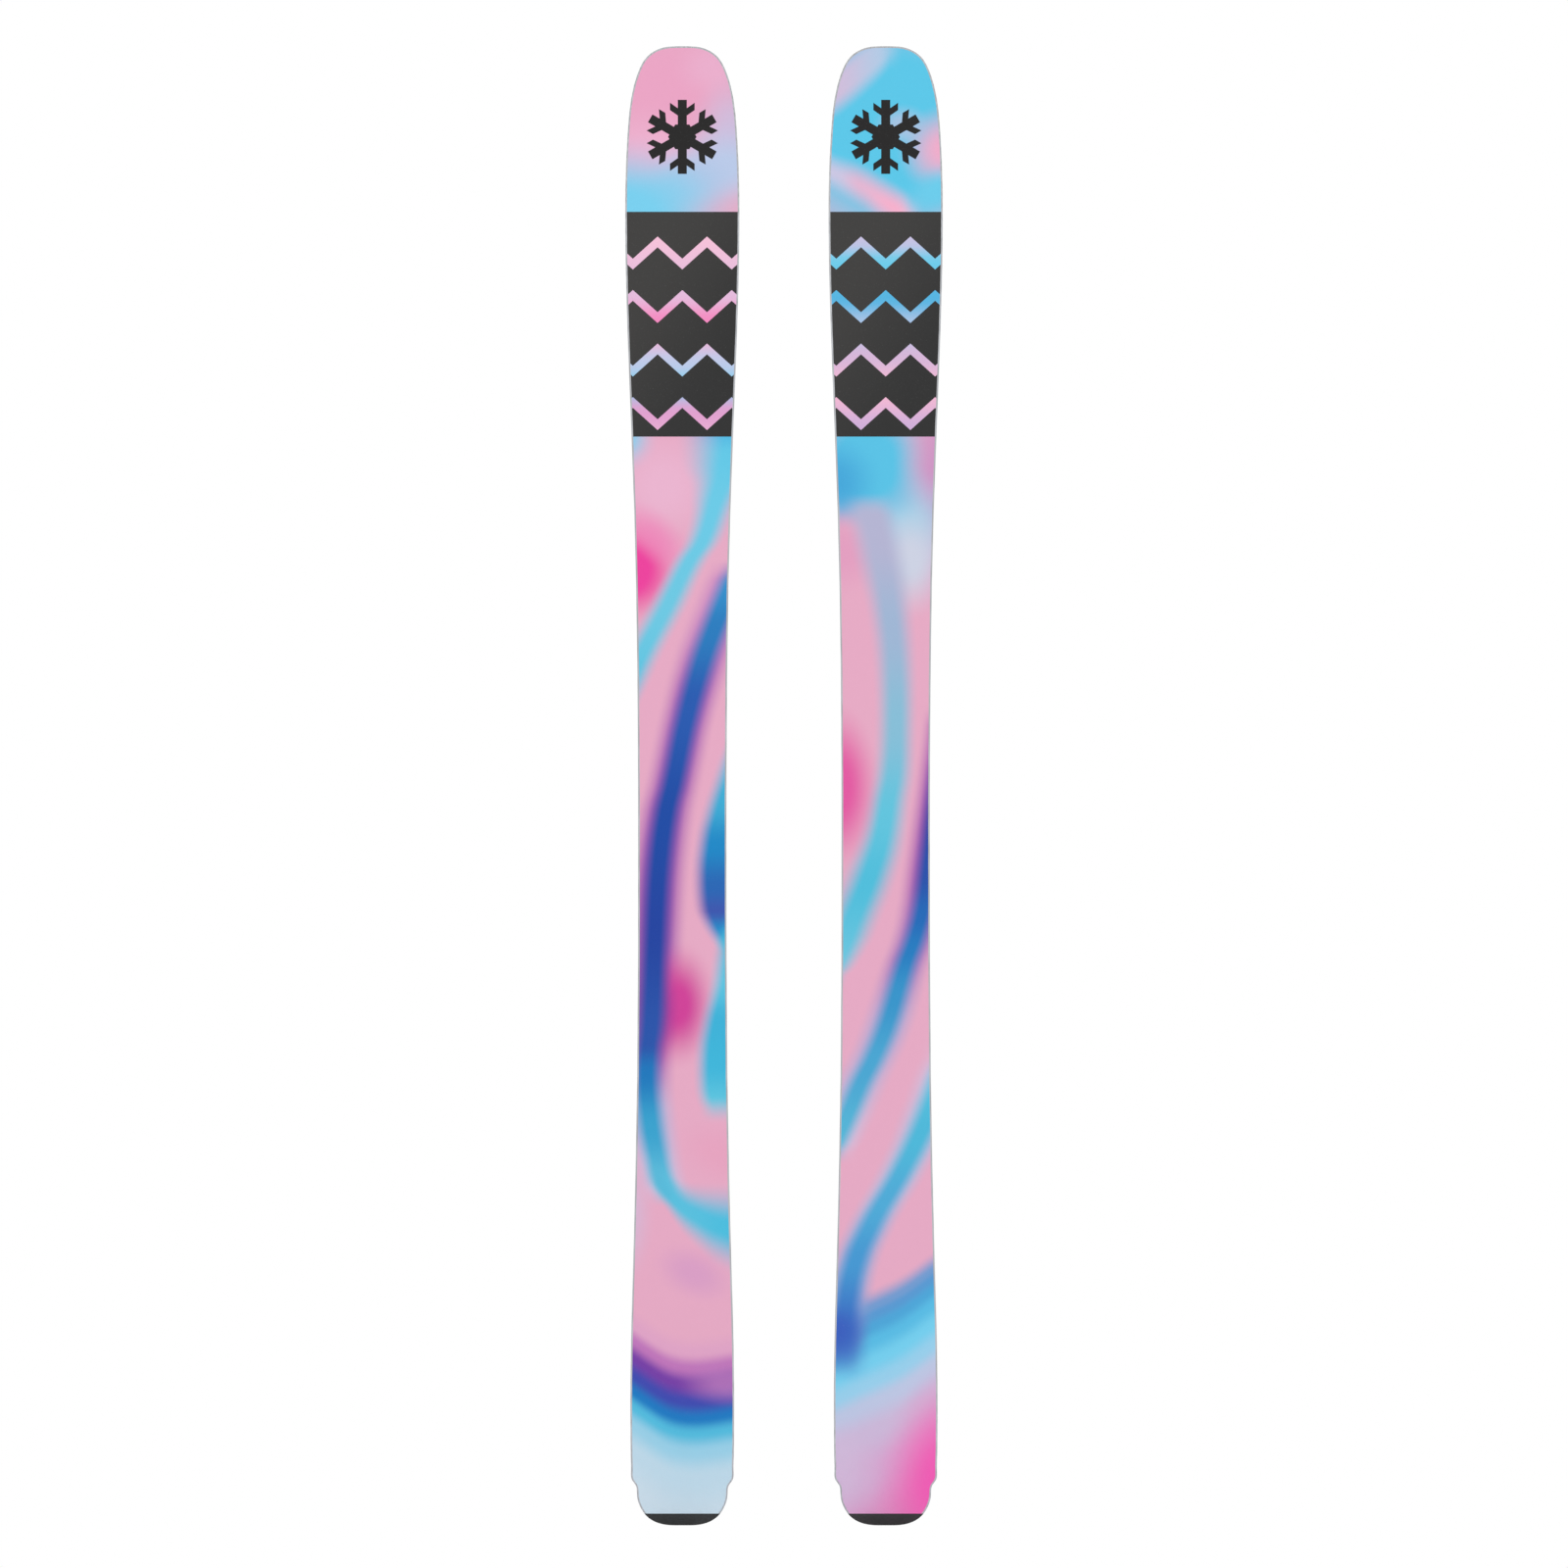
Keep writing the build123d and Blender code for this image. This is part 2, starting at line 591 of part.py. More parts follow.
with BuildPart() as boss_bores:
    with BuildSketch(Plane(origin=ARM_PIVOT, z_dir=ARM_AXIS)):
        Circle(WIRE + FIT)
    extrude(amount=BOSS_END + GAP)
    mirror(about=Plane.YZ)

with BuildPart() as brake_base:
    with BuildSketch(above(0)):
        with Locations((0, (BRAKE_FRONT + TRACK_FRONT) / 2)):
            RectangleRounded(60, BRAKE_FRONT - TRACK_FRONT, 3)
    extrude(amount=-4)
    add(boss_pair.part)
    with BuildSketch(Plane.YZ.offset(EAR_INNER)):
        with BuildLine():
            Polyline(side_point(2, -80), side_point(PEDAL_HINGE[0], -83), side_point(PEDAL_HINGE[0], -93),
                     side_point(2, -97), close=True)
        make_face()
        with Locations(side_point(*PEDAL_HINGE)):
            Circle(5)
    ears = extrude(amount=EAR_OUTER - EAR_INNER)
    mirror(ears, about=Plane.YZ)
    # nothing of a boss reaches into the ski, and the bores and the hinge's hole stay open
    with BuildSketch(above(0)):
        with Locations((0, -115)):
            Rectangle(90, 90)
    extrude(amount=12, mode=Mode.SUBTRACT)
    add(boss_bores.part, mode=Mode.SUBTRACT)
    with BuildSketch(Plane.YZ):
        with Locations(side_point(*PEDAL_HINGE)):
            Circle(PEDAL_PIN_RADIUS + FIT)
    extrude(amount=40, both=True, mode=Mode.SUBTRACT)
keep(brake_base, "brake_base")

with BuildPart() as brake_pedal:
    with BuildSketch(above(PEDAL_LOW)):
        with Locations((0, (PEDAL_HINGE[1] + PEDAL_BACK) / 2)):
            RectangleRounded(2 * PEDAL_HALF, PEDAL_HINGE[1] - PEDAL_BACK, 4)
    extrude(amount=-(PEDAL_HIGH - PEDAL_LOW))
    with BuildSketch(Plane.YZ):
        with BuildLine():
            Polyline(side_point(PEDAL_HINGE[0] - 4.5, -88), side_point(PEDAL_LOW + 2, -100),
                     side_point(PEDAL_HIGH, -94), side_point(PEDAL_HINGE[0] + 4.5, -86), close=True)
        make_face()
        with Locations(side_point(*PEDAL_HINGE)):
            Circle(4.5)
    extrude(amount=EAR_INNER - GAP - 0.2, both=True)
    with BuildSketch(Plane.YZ):
        with Locations(side_point(*PEDAL_HINGE)):
            Circle(PEDAL_PIN_RADIUS)
    extrude(amount=EAR_OUTER - 0.5, both=True)
keep(brake_pedal, "brake_pedal")


def handed(point, hand):
    return Vector(hand * point.X, point.Y, point.Z)


def brake_arm(hand):
    start = handed(ARM_PIVOT + ARM_AXIS * BOSS_END, hand)
    with BuildPart() as arm:
        with BuildLine():
            path = FilletPolyline(start, handed(ARM_PIVOT, hand), handed(ARM_KNEE, hand), handed(ARM_END, hand),
                                  radius=[4.5, 9])
        with BuildSketch(Plane(origin=path @ 0, z_dir=path % 0)):
            Circle(WIRE)
        sweep()
    return arm


def brake_shoe(hand):
    along = (handed(ARM_END, hand) - handed(ARM_KNEE, hand)).normalized()
    back = handed(ARM_END, hand) - along * (SHOE_LENGTH - SHOE_OVER)
    with BuildPart() as shoe:
        with BuildSketch(Plane(origin=back, x_dir=(1, 0, 0), z_dir=along)):
            RectangleRounded(8.4, 11.5, 3.6)
        extrude(amount=SHOE_LENGTH)
        with BuildSketch(Plane(origin=back, z_dir=along)):
            Circle(WIRE)
        extrude(amount=SHOE_LENGTH - SHOE_OVER, mode=Mode.SUBTRACT)
    return shoe


keep_pair(brake_arm, "brake_arm")
keep_pair(brake_shoe, "brake_shoe")
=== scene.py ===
import json
import math

import bmesh
import bpy
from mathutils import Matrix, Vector


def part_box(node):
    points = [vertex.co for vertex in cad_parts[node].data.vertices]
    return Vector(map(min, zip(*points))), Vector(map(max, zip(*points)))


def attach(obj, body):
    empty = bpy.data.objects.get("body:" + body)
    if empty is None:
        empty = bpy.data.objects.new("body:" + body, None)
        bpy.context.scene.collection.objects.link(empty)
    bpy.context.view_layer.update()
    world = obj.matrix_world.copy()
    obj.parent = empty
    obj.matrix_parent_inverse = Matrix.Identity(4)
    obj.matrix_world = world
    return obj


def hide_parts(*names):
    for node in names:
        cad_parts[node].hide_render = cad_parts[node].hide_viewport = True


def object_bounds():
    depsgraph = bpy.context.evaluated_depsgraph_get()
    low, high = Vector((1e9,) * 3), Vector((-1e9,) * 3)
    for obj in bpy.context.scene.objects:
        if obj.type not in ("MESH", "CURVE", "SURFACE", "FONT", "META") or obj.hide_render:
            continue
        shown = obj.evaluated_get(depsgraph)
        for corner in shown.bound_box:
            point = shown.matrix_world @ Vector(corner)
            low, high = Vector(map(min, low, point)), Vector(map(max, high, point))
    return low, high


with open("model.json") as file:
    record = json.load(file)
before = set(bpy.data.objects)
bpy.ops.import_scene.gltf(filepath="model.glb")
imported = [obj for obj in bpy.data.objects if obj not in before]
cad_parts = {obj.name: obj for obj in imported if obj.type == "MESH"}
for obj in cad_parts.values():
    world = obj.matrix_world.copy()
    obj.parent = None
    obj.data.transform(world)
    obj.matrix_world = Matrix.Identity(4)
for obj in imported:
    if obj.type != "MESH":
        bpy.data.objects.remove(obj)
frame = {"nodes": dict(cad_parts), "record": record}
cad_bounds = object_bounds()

# A pair of freeride skis with alpine bindings, tips up, with the bases towards the camera. The graphics are
# painted by nodes in millimetres: u across the ski from its centre line, h along it from the tail's end.
# Their lines and patches are given one by one. Everything else is in metres.

MM = 0.001
SIDES = ("left", "right")


def middle_x(node):
    low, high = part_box(node)
    return (low[0] + high[0]) / 2


SKI_X = {side: middle_x(f"{side}_base") for side in SIDES}
TAIL_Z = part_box("left_tail_protector")[0][2]


# --- shader helpers -------------------------------------------------------------------------------
def rgb(red, green, blue):
    """A colour given in 0-255 display values, as linear light."""
    def linear(value):
        value /= 255
        return value / 12.92 if value <= 0.04045 else ((value + 0.055) / 1.055) ** 2.4
    return (linear(red), linear(green), linear(blue), 1.0)


class Paint:
    """A material being built: a principled shader and short calls for the nodes that feed it."""

    def __init__(self, name, roughness=0.5, metallic=0.0, coat=0.0):
        self.material = bpy.data.materials.new(name)
        self.material.use_nodes = True
        self.nodes = self.material.node_tree.nodes
        self.links = self.material.node_tree.links
        self.nodes.clear()
        self.shader = self.nodes.new("ShaderNodeBsdfPrincipled")
        output = self.nodes.new("ShaderNodeOutputMaterial")
        self.links.new(self.shader.outputs[0], output.inputs[0])
        self.set(self.shader.inputs["Roughness"], roughness)
        self.set(self.shader.inputs["Metallic"], metallic)
        self.set(self.shader.inputs["Coat Weight"], coat)
        self.place = self.nodes.new("ShaderNodeTexCoord").outputs["Object"]

    def set(self, socket, value):
        if isinstance(value, bpy.types.NodeSocket):
            self.links.new(value, socket)
        else:
            socket.default_value = value

    def math(self, operation, first, second=0.0, third=0.0, clamp=False):
        node = self.nodes.new("ShaderNodeMath")
        node.operation = operation
        node.use_clamp = clamp
        for socket, value in zip(node.inputs, (first, second, third)):
            self.set(socket, value)
        return node.outputs[0]

    def mix(self, factor, first, second):
        node = self.nodes.new("ShaderNodeMix")
        node.data_type = "RGBA"
        self.set(node.inputs[0], factor)
        for socket, value in ((node.inputs[6], first), (node.inputs[7], second)):
            self.set(socket, value)
        return node.outputs[2]

    def between(self, value, start, end):
        """0 at start, 1 at end, with a smooth step between them."""
        node = self.nodes.new("ShaderNodeMapRange")
        node.interpolation_type = "SMOOTHSTEP"
        self.set(node.inputs["Value"], value)
        self.set(node.inputs["From Min"], start)
        self.set(node.inputs["From Max"], end)
        return node.outputs[0]

    def ramp(self, value, stops):
        node = self.nodes.new("ShaderNodeValToRGB")
        node.color_ramp.interpolation = "EASE"
        elements = node.color_ramp.elements
        while len(elements) > 1:
            elements.remove(elements[-1])
        elements[0].position, elements[0].color = stops[0]
        for position, colour in stops[1:]:
            elements.new(position).color = colour
        self.set(node.inputs[0], value)
        return node.outputs[0]

    def curve(self, value, points):
        """A smooth curve through given points with both coordinates from 0 to 1."""
        node = self.nodes.new("ShaderNodeFloatCurve")
        handles = node.mapping.curves[0].points
        handles[0].location = points[0]
        handles[1].location = points[-1]
        for point in points[1:-1]:
            handles.new(*point)
        node.mapping.extend = "HORIZONTAL"
        node.mapping.update()
        self.set(node.inputs["Value"], value)
        return node.outputs[0]

    def noise(self, scale, detail=3.0, stretch=(1.0, 1.0, 1.0), distortion=0.0):
        mapping = self.nodes.new("ShaderNodeMapping")
        self.links.new(self.place, mapping.inputs["Vector"])
        mapping.inputs["Scale"].default_value = stretch
        node = self.nodes.new("ShaderNodeTexNoise")
        self.links.new(mapping.outputs[0], node.inputs["Vector"])
        node.inputs["Scale"].default_value = scale
        node.inputs["Detail"].default_value = detail
        node.inputs["Distortion"].default_value = distortion
        return node.outputs[0]

    def bump(self, height, distance, strength=1.0):
        node = self.nodes.new("ShaderNodeBump")
        node.inputs["Distance"].default_value = distance
        node.inputs["Strength"].default_value = strength
        self.links.new(height, node.inputs["Height"])
        self.links.new(node.outputs[0], self.shader.inputs["Normal"])

    def vary_roughness(self, value, low, high):
        node = self.nodes.new("ShaderNodeMapRange")
        self.set(node.inputs["Value"], value)
        node.inputs["To Min"].default_value = low
        node.inputs["To Max"].default_value = high
        self.links.new(node.outputs[0], self.shader.inputs["Roughness"])

    def colour(self, value):
        self.set(self.shader.inputs["Base Color"], value)
        return self.material


# --- the printed graphics -------------------------------------------------------------------------
HALF_SPAN = 90.0             # u runs from minus to plus this in the curves
LONG_SPAN = 1800.0           # h runs from 0 to this in the curves
WIDE_SPAN = 80.0             # largest streak half width in the curves
RISE_SPAN = 400.0            # h covered by a curve across the ski, half of it under its first point
BLOB_REACH = 1.3             # a patch fades out at this many of its half sizes


def part_along(h):
    """0 at the tail's end and 1 at the end of the curves' span."""
    return h / LONG_SPAN


def part_across(u):
    """0 at the left end of the curves' span across the ski and 1 at its right end."""
    return (u + HALF_SPAN) / (2 * HALF_SPAN)


class Print(Paint):
    """A painted ski surface, with u and h in millimetres and a running colour that marks are laid on."""

    def __init__(self, name, side, **finish):
        super().__init__(name, **finish)
        split = self.nodes.new("ShaderNodeSeparateXYZ")
        self.links.new(self.place, split.inputs[0])
        self.u = self.math("MULTIPLY", self.math("SUBTRACT", split.outputs["X"], SKI_X[side]), 1 / MM)
        self.h = self.math("MULTIPLY", self.math("SUBTRACT", split.outputs["Z"], TAIL_Z), 1 / MM)
        self.along = self.math("DIVIDE", self.h, LONG_SPAN)
        self.across = self.math("DIVIDE", self.math("ADD", self.u, HALF_SPAN), 2 * HALF_SPAN)
        self.top = (0.5, 0.5, 0.5, 1.0)

    def lay(self, mask, colour):
        self.top = self.mix(mask, self.top, colour)

    def product(self, first, *others):
        for other in others:
            first = self.math("MULTIPLY", first, other)
        return first

    def inside(self, value, low, high, soft):
        """1 from low to high, with smooth ends that reach soft to both sides of them."""
        return self.product(self.between(value, low - soft, low + soft),
                            self.between(value, high + soft, high - soft))

    def blob(self, u, h, wide, high, colour, tilt=0.0, strength=1.0, power=2.0, core=0.15):
        """A soft ellipse of colour; a higher power makes it squarer, and a higher core fuller."""
        du = self.math("SUBTRACT", self.u, u)
        dh = self.math("SUBTRACT", self.h, h)
        cos, sin = math.cos(math.radians(tilt)), math.sin(math.radians(tilt))
        across = self.math("ADD", self.math("MULTIPLY", du, cos / wide),
                           self.math("MULTIPLY", dh, sin / wide))
        up = self.math("ADD", self.math("MULTIPLY", du, -sin / high),
                       self.math("MULTIPLY", dh, cos / high))
        far = self.math("ADD", self.math("POWER", self.math("ABSOLUTE", across), power),
                        self.math("POWER", self.math("ABSOLUTE", up), power))
        far = self.math("POWER", far, 1 / power)
        self.lay(self.math("MULTIPLY", self.between(far, BLOB_REACH, core), strength), colour)

    def along_curve(self, points):
        """u as a smooth function of h, through listed (h, u) points."""
        value = self.curve(self.along, [(part_along(h), part_across(u)) for h, u in points])
        return self.math("MULTIPLY", self.math("SUBTRACT", value, 0.5), 2 * HALF_SPAN)

    def across_curve(self, points):
        """h as a smooth function of u, through listed (u, h) points."""
        start = points[0][1] - RISE_SPAN / 2
        value = self.curve(self.across, [(part_across(u), (h - start) / RISE_SPAN) for u, h in points])
        return self.math("ADD", self.math("MULTIPLY", value, RISE_SPAN), start)

    def off_line(self, value, centre, where, sizes):
        """Distance of value from a line, as a part of the line's half width.

        sizes holds the half widths along where, as (0 to 1, millimetres)."""
        half = self.curve(where, [(part, size / WIDE_SPAN) for part, size in sizes])
        away = self.math("ABSOLUTE", self.math("SUBTRACT", value, centre))
        return self.math("DIVIDE", away, self.math("MULTIPLY", half, WIDE_SPAN))

    def paint_along(self, mask, colours):
        """Lay colours that change with h, given as (h, colour)."""
        self.lay(mask, self.ramp(self.along, [(part_along(h), colour) for h, colour in colours]))

    def streak(self, line, colours, core=0.2, widen=1.0, fade=30.0):
        """A soft streak along the ski. line holds (h, u, half width), from the tail up."""
        centre = self.along_curve([(h, u) for h, u, w in line])
        off = self.off_line(self.u, centre, self.along, [(part_along(h), w * widen) for h, u, w in line])
        ends = self.inside(self.h, line[0][0], line[-1][0], fade / 2)
        self.paint_along(self.product(self.between(off, 1.0, core), ends), colours)

    def stripe(self, line, colours, core=0.2, fade=16.0):
        """A soft stripe across the ski. line holds (u, h, half height), from left to right."""
        centre = self.across_curve([(u, h) for u, h, w in line])
        off = self.off_line(self.h, centre, self.across, [(part_across(u), w) for u, h, w in line])
        ends = self.inside(self.u, line[0][0], line[-1][0], fade)
        shades = self.ramp(self.across, [(part_across(u), colour) for u, colour in colours])
        self.lay(self.product(self.between(off, 1.0, core), ends), shades)

    def side_pool(self, border, colours, soft=11.0, fade=18.0):
        """Colour from a border line out to the ski's right edge. border holds (h, u), from the tail up."""
        over = self.math("SUBTRACT", self.u, self.along_curve(border))
        ends = self.inside(self.h, border[0][0], border[-1][0], fade)
        self.paint_along(self.product(self.between(over, -soft, soft), ends), colours)

    def tail_wash(self, points, stops, reach):
        """Colours laid by the distance under a line across the ski.

        stops hold (distance, colour), and reach is how far above and under the line they run."""
        above, below = reach
        under = self.math("SUBTRACT", self.across_curve(points), self.h)
        part = self.math("DIVIDE", self.math("ADD", under, above), above + below)
        spans = [((above + distance) / (above + below), colour) for distance, colour in stops]
        self.lay(self.between(part, 0.0, spans[0][0]), self.ramp(part, spans))


PINK = rgb(228, 168, 194)
LILAC = rgb(205, 188, 217)
LIGHT_BLUE = rgb(118, 205, 236)
CYAN = rgb(74, 188, 220)
DEEP_BLUE = rgb(26, 64, 158)
MAGENTA = rgb(234, 62, 155)
PURPLE = rgb(112, 56, 162)
PALE = rgb(203, 221, 233)
CHARCOAL = rgb(61, 60, 59)


def left_swirl(ski):
    """The soft colours of the left ski, from tip to tail."""
    ski.top = PINK
    ski.blob(-20, 1745, 110, 90, rgb(232, 162, 194))
    ski.blob(-40, 1655, 60, 60, rgb(236, 176, 206))
    ski.blob(40, 1770, 44, 34, rgb(232, 172, 202))
    ski.blob(62, 1690, 46, 62, rgb(205, 186, 217))
    ski.blob(52, 1650, 74, 44, rgb(184, 200, 230))
    ski.blob(4, 1628, 60, 34, rgb(178, 196, 228), tilt=15)
    ski.blob(-74, 1592, 122, 78, LIGHT_BLUE, core=0.3)
    ski.blob(-72, 1316, 34, 34, LIGHT_BLUE)
    ski.blob(-22, 1262, 60, 60, rgb(232, 178, 205))
    ski.blob(-64, 1160, 52, 54, MAGENTA, core=0.4)
    ski.blob(-34, 1202, 54, 26, rgb(236, 132, 184), tilt=-40, strength=0.7)
    ski.streak([(985, -82, 26), (1020, -66, 28), (1058, -49, 28), (1113, -20, 28), (1171, 9, 26),
                (1200, 27, 27), (1248, 42, 36), (1290, 56, 62), (1350, 66, 80)],
               [(955, CYAN), (1113, rgb(106, 198, 224)), (1244, rgb(104, 200, 228)),
                (1300, rgb(96, 198, 228)), (1340, rgb(66, 170, 220))], core=0.12)
    # the long dark streak with its purple sides, which turns to cyan and sweeps out to the right
    dark_line = [(400, -16, 30), (423, -25, 28), (462, -34, 30), (499, -40, 31), (535, -43, 31),
                 (571, -42, 31), (608, -38, 32), (644, -36, 32), (717, -33, 33), (790, -29, 33),
                 (863, -20, 32), (901, -11, 31), (974, 4, 31), (1047, 24, 33), (1084, 37, 34), (1160, 68, 34)]
    ski.streak(dark_line, [(400, LILAC), (500, rgb(184, 178, 214)), (572, rgb(166, 92, 172)),
                           (760, rgb(160, 84, 172)), (1000, rgb(168, 96, 178)), (1120, rgb(196, 130, 190))],
               core=0.3, widen=1.22)
    ski.blob(-6, 632, 40, 64, rgb(206, 62, 150), core=0.25)
    ski.blob(-32, 628, 24, 62, rgb(122, 56, 152), strength=0.85)
    ski.streak(dark_line, [(400, rgb(96, 192, 220)), (483, rgb(52, 160, 204)), (550, rgb(20, 118, 186)),
                           (585, rgb(36, 82, 168)), (721, DEEP_BLUE), (860, rgb(20, 72, 162)),
                           (1000, rgb(34, 88, 174)), (1089, rgb(36, 122, 188)), (1140, rgb(46, 140, 200))],
               core=0.2, widen=0.78)
    ski.stripe([(-36, 428, 22), (-18, 405, 27), (-2, 389, 34), (20, 375, 44), (42, 365, 54), (76, 358, 62)],
               [(-36, rgb(84, 182, 214)), (0, rgb(86, 190, 220)), (60, rgb(72, 188, 220))], core=0.1)
    ski.side_pool([(690, 62), (704, 47), (717, 38), (735, 28), (753, 22), (790, 20), (826, 23),
                   (863, 31), (899, 42), (940, 56), (985, 80)],
                  [(700, CYAN), (722, rgb(30, 136, 198)), (745, rgb(56, 84, 172)), (775, rgb(34, 100, 178)),
                   (826, rgb(20, 134, 196)), (880, rgb(58, 170, 210)), (940, CYAN)])
    ski.side_pool([(504, 30), (517, 26), (535, 23), (571, 23), (608, 28), (644, 37), (662, 41),
                   (684, 44), (712, 48), (730, 56)],
                  [(500, rgb(96, 198, 222)), (560, rgb(58, 180, 216)), (612, rgb(56, 176, 214)),
                   (660, rgb(88, 194, 222)), (712, rgb(70, 184, 216))])
    ski.blob(46, 452, 50, 34, rgb(229, 162, 190), tilt=-25)
    ski.blob(-70, 380, 30, 74, LILAC, strength=0.7)
    ski.blob(14, 306, 46, 28, rgb(211, 152, 196), tilt=-25, strength=0.7)
    ski.tail_wash([(-90, 194), (-61, 171), (-40, 156), (-20, 144), (-5, 139), (12, 137), (30, 138), (62, 143),
                   (90, 148)],
                  [(-72, rgb(222, 162, 196)), (-54, rgb(190, 116, 184)), (-34, rgb(116, 60, 164)),
                   (-12, rgb(60, 72, 174)), (8, rgb(20, 120, 192)), (26, rgb(80, 186, 220)),
                   (48, rgb(152, 207, 230)), (78, rgb(190, 217, 232)), (130, PALE)], reach=(96, 140))
    ski.blob(56, 172, 52, 24, rgb(190, 124, 188), strength=0.7)


def right_swirl(ski):
    """The soft colours of the right ski, from tip to tail."""
    ski.top = PINK
    ski.blob(10, 1700, 150, 150, rgb(88, 197, 230), core=0.5)
    ski.stripe([(-76, 1732, 36), (-34, 1766, 40), (6, 1800, 34)], [(-60, LILAC), (0, rgb(176, 200, 227))])
    ski.blob(74, 1672, 50, 44, rgb(238, 170, 200), tilt=25)
    ski.blob(20, 1700, 30, 22, rgb(196, 190, 220), strength=0.6)
    ski.stripe([(-80, 1650, 24), (-59, 1640, 28), (-26, 1624, 32), (-6, 1610, 34), (14, 1598, 34),
                (34, 1590, 28)],
               [(-60, rgb(200, 196, 224)), (-30, rgb(224, 180, 208)), (10, rgb(243, 174, 202)),
                (34, rgb(234, 184, 210))], core=0.0)
    ski.blob(62, 1620, 40, 26, rgb(104, 202, 233), tilt=30)
    ski.blob(66, 1262, 42, 130, rgb(203, 146, 194))
    ski.blob(24, 1215, 56, 60, rgb(160, 204, 228))
    ski.blob(-24, 1288, 62, 64, rgb(86, 192, 227), power=3.0, core=0.5)
    ski.blob(-64, 1266, 50, 50, rgb(66, 166, 216))
    ski.blob(-44, 1348, 44, 16, LILAC)
    ski.blob(30, 1172, 40, 60, rgb(203, 208, 225))
    ski.blob(-56, 1180, 50, 44, rgb(225, 156, 190))
    ski.streak([(665, -70, 24), (700, -53, 34), (739, -39, 38), (790, -19, 37), (844, -3, 33), (881, 3, 31),
                (920, 10, 29), (956, 12, 28), (1029, 12, 29), (1113, 5, 32), (1186, -8, 38), (1240, -20, 34)],
               [(640, rgb(112, 198, 222)), (780, rgb(76, 188, 217)), (863, rgb(94, 194, 219)),
                (970, rgb(132, 188, 213)), (1089, rgb(157, 180, 210)), (1200, rgb(178, 178, 208))], core=0.15)
    ski.blob(-60, 896, 44, 84, rgb(225, 86, 160), core=0.3)
    edge_line = [(452, -66, 26), (499, -46, 29), (535, -31, 29), (571, -13, 28), (608, 2, 28), (681, 24, 26),
                 (717, 37, 26), (753, 46, 27), (790, 51, 27), (899, 63, 24), (985, 72, 22)]
    ski.streak(edge_line, [(452, LILAC), (600, rgb(180, 168, 208)), (700, rgb(166, 120, 186)),
                           (790, rgb(168, 92, 174)), (985, rgb(176, 100, 176))], core=0.3, widen=1.3)
    ski.streak(edge_line, [(452, rgb(84, 182, 214)), (560, rgb(70, 164, 208)), (644, rgb(50, 146, 200)),
                           (700, rgb(30, 122, 190)), (738, rgb(28, 104, 182)), (790, rgb(36, 78, 168)),
                           (860, rgb(30, 64, 160)), (899, rgb(46, 62, 162)), (985, PURPLE)],
               core=0.16, widen=0.82)
    ski.tail_wash([(-90, 232), (-49, 250), (-28, 260), (-8, 269), (21, 284), (57, 310), (90, 334)],
                  [(0, rgb(112, 154, 206)), (10, rgb(86, 152, 208)), (24, rgb(74, 164, 214)),
                   (42, rgb(86, 186, 226)), (66, rgb(114, 205, 236)), (92, rgb(150, 206, 234)),
                   (116, rgb(188, 198, 226)), (150, rgb(204, 184, 216)), (200, rgb(214, 168, 209)),
                   (260, rgb(222, 154, 201))], reach=(24, 270))
    fan_line = [(200, -54, 32), (274, -47, 28), (316, -38, 27), (358, -21, 27), (429, 19, 28), (471, 40, 30),
                (512, 57, 32), (570, 76, 28)]
    ski.streak(fan_line, [(200, rgb(80, 130, 200)), (316, rgb(150, 168, 212)), (430, rgb(180, 186, 218)),
                          (570, LILAC)], core=0.3, widen=1.25, fade=60)
    ski.streak(fan_line, [(200, rgb(62, 110, 196)), (260, rgb(58, 122, 198)), (320, rgb(66, 150, 208)),
                          (393, rgb(76, 169, 213)), (471, rgb(74, 182, 215)), (570, rgb(86, 196, 223))],
               core=0.18, widen=0.85, fade=60)
    ski.blob(-62, 236, 38, 30, rgb(54, 92, 188), tilt=15, strength=0.95)
    ski.blob(66, 58, 66, 118, rgb(240, 92, 180), tilt=-12)
    ski.blob(-60, 60, 50, 60, rgb(210, 188, 218), strength=0.8)


# A plain straight-edged dark band with rows of equal zigzag lines, alike on both skis.
BAND_TOP = 1595.0
BAND_FOOT = 1322.0
PAINTED_SHADE_FOOT = 1300.0          # painted shade: on the centre line the band is darkest here and below
PAINTED_SHADE_TALL = 350.0           # the painted shade changes once over this height, and once over this width
PAINTED_SHADE_WIDE = 220.0
ZIGZAG_ROWS = 4
ZIGZAG_TOP = 1565.0          # height of the top row's peaks
ZIGZAG_PITCH = 65.0          # from one row down to the next
ZIGZAG_HALF = 30.0           # half the distance between two peaks of a row
ZIGZAG_SLOPE = 0.9
ZIGZAG_TALL = 13.0           # height of a line, measured along the ski
LINE_COLOURS = {
    "left": [(1300, rgb(243, 190, 214)), (1352, rgb(222, 158, 204)), (1384, rgb(122, 205, 235)),
             (1412, rgb(188, 200, 230)), (1446, rgb(238, 176, 208)), (1462, rgb(242, 136, 190)),
             (1496, rgb(226, 186, 218)), (1590, rgb(247, 192, 213))],
    "right": [(1330, rgb(205, 172, 215)), (1380, rgb(244, 184, 208)), (1420, rgb(212, 180, 214)),
              (1452, rgb(178, 196, 228)), (1490, rgb(82, 178, 222)), (1535, rgb(108, 202, 232)),
              (1560, rgb(196, 192, 224)), (1590, rgb(240, 190, 214))],
}


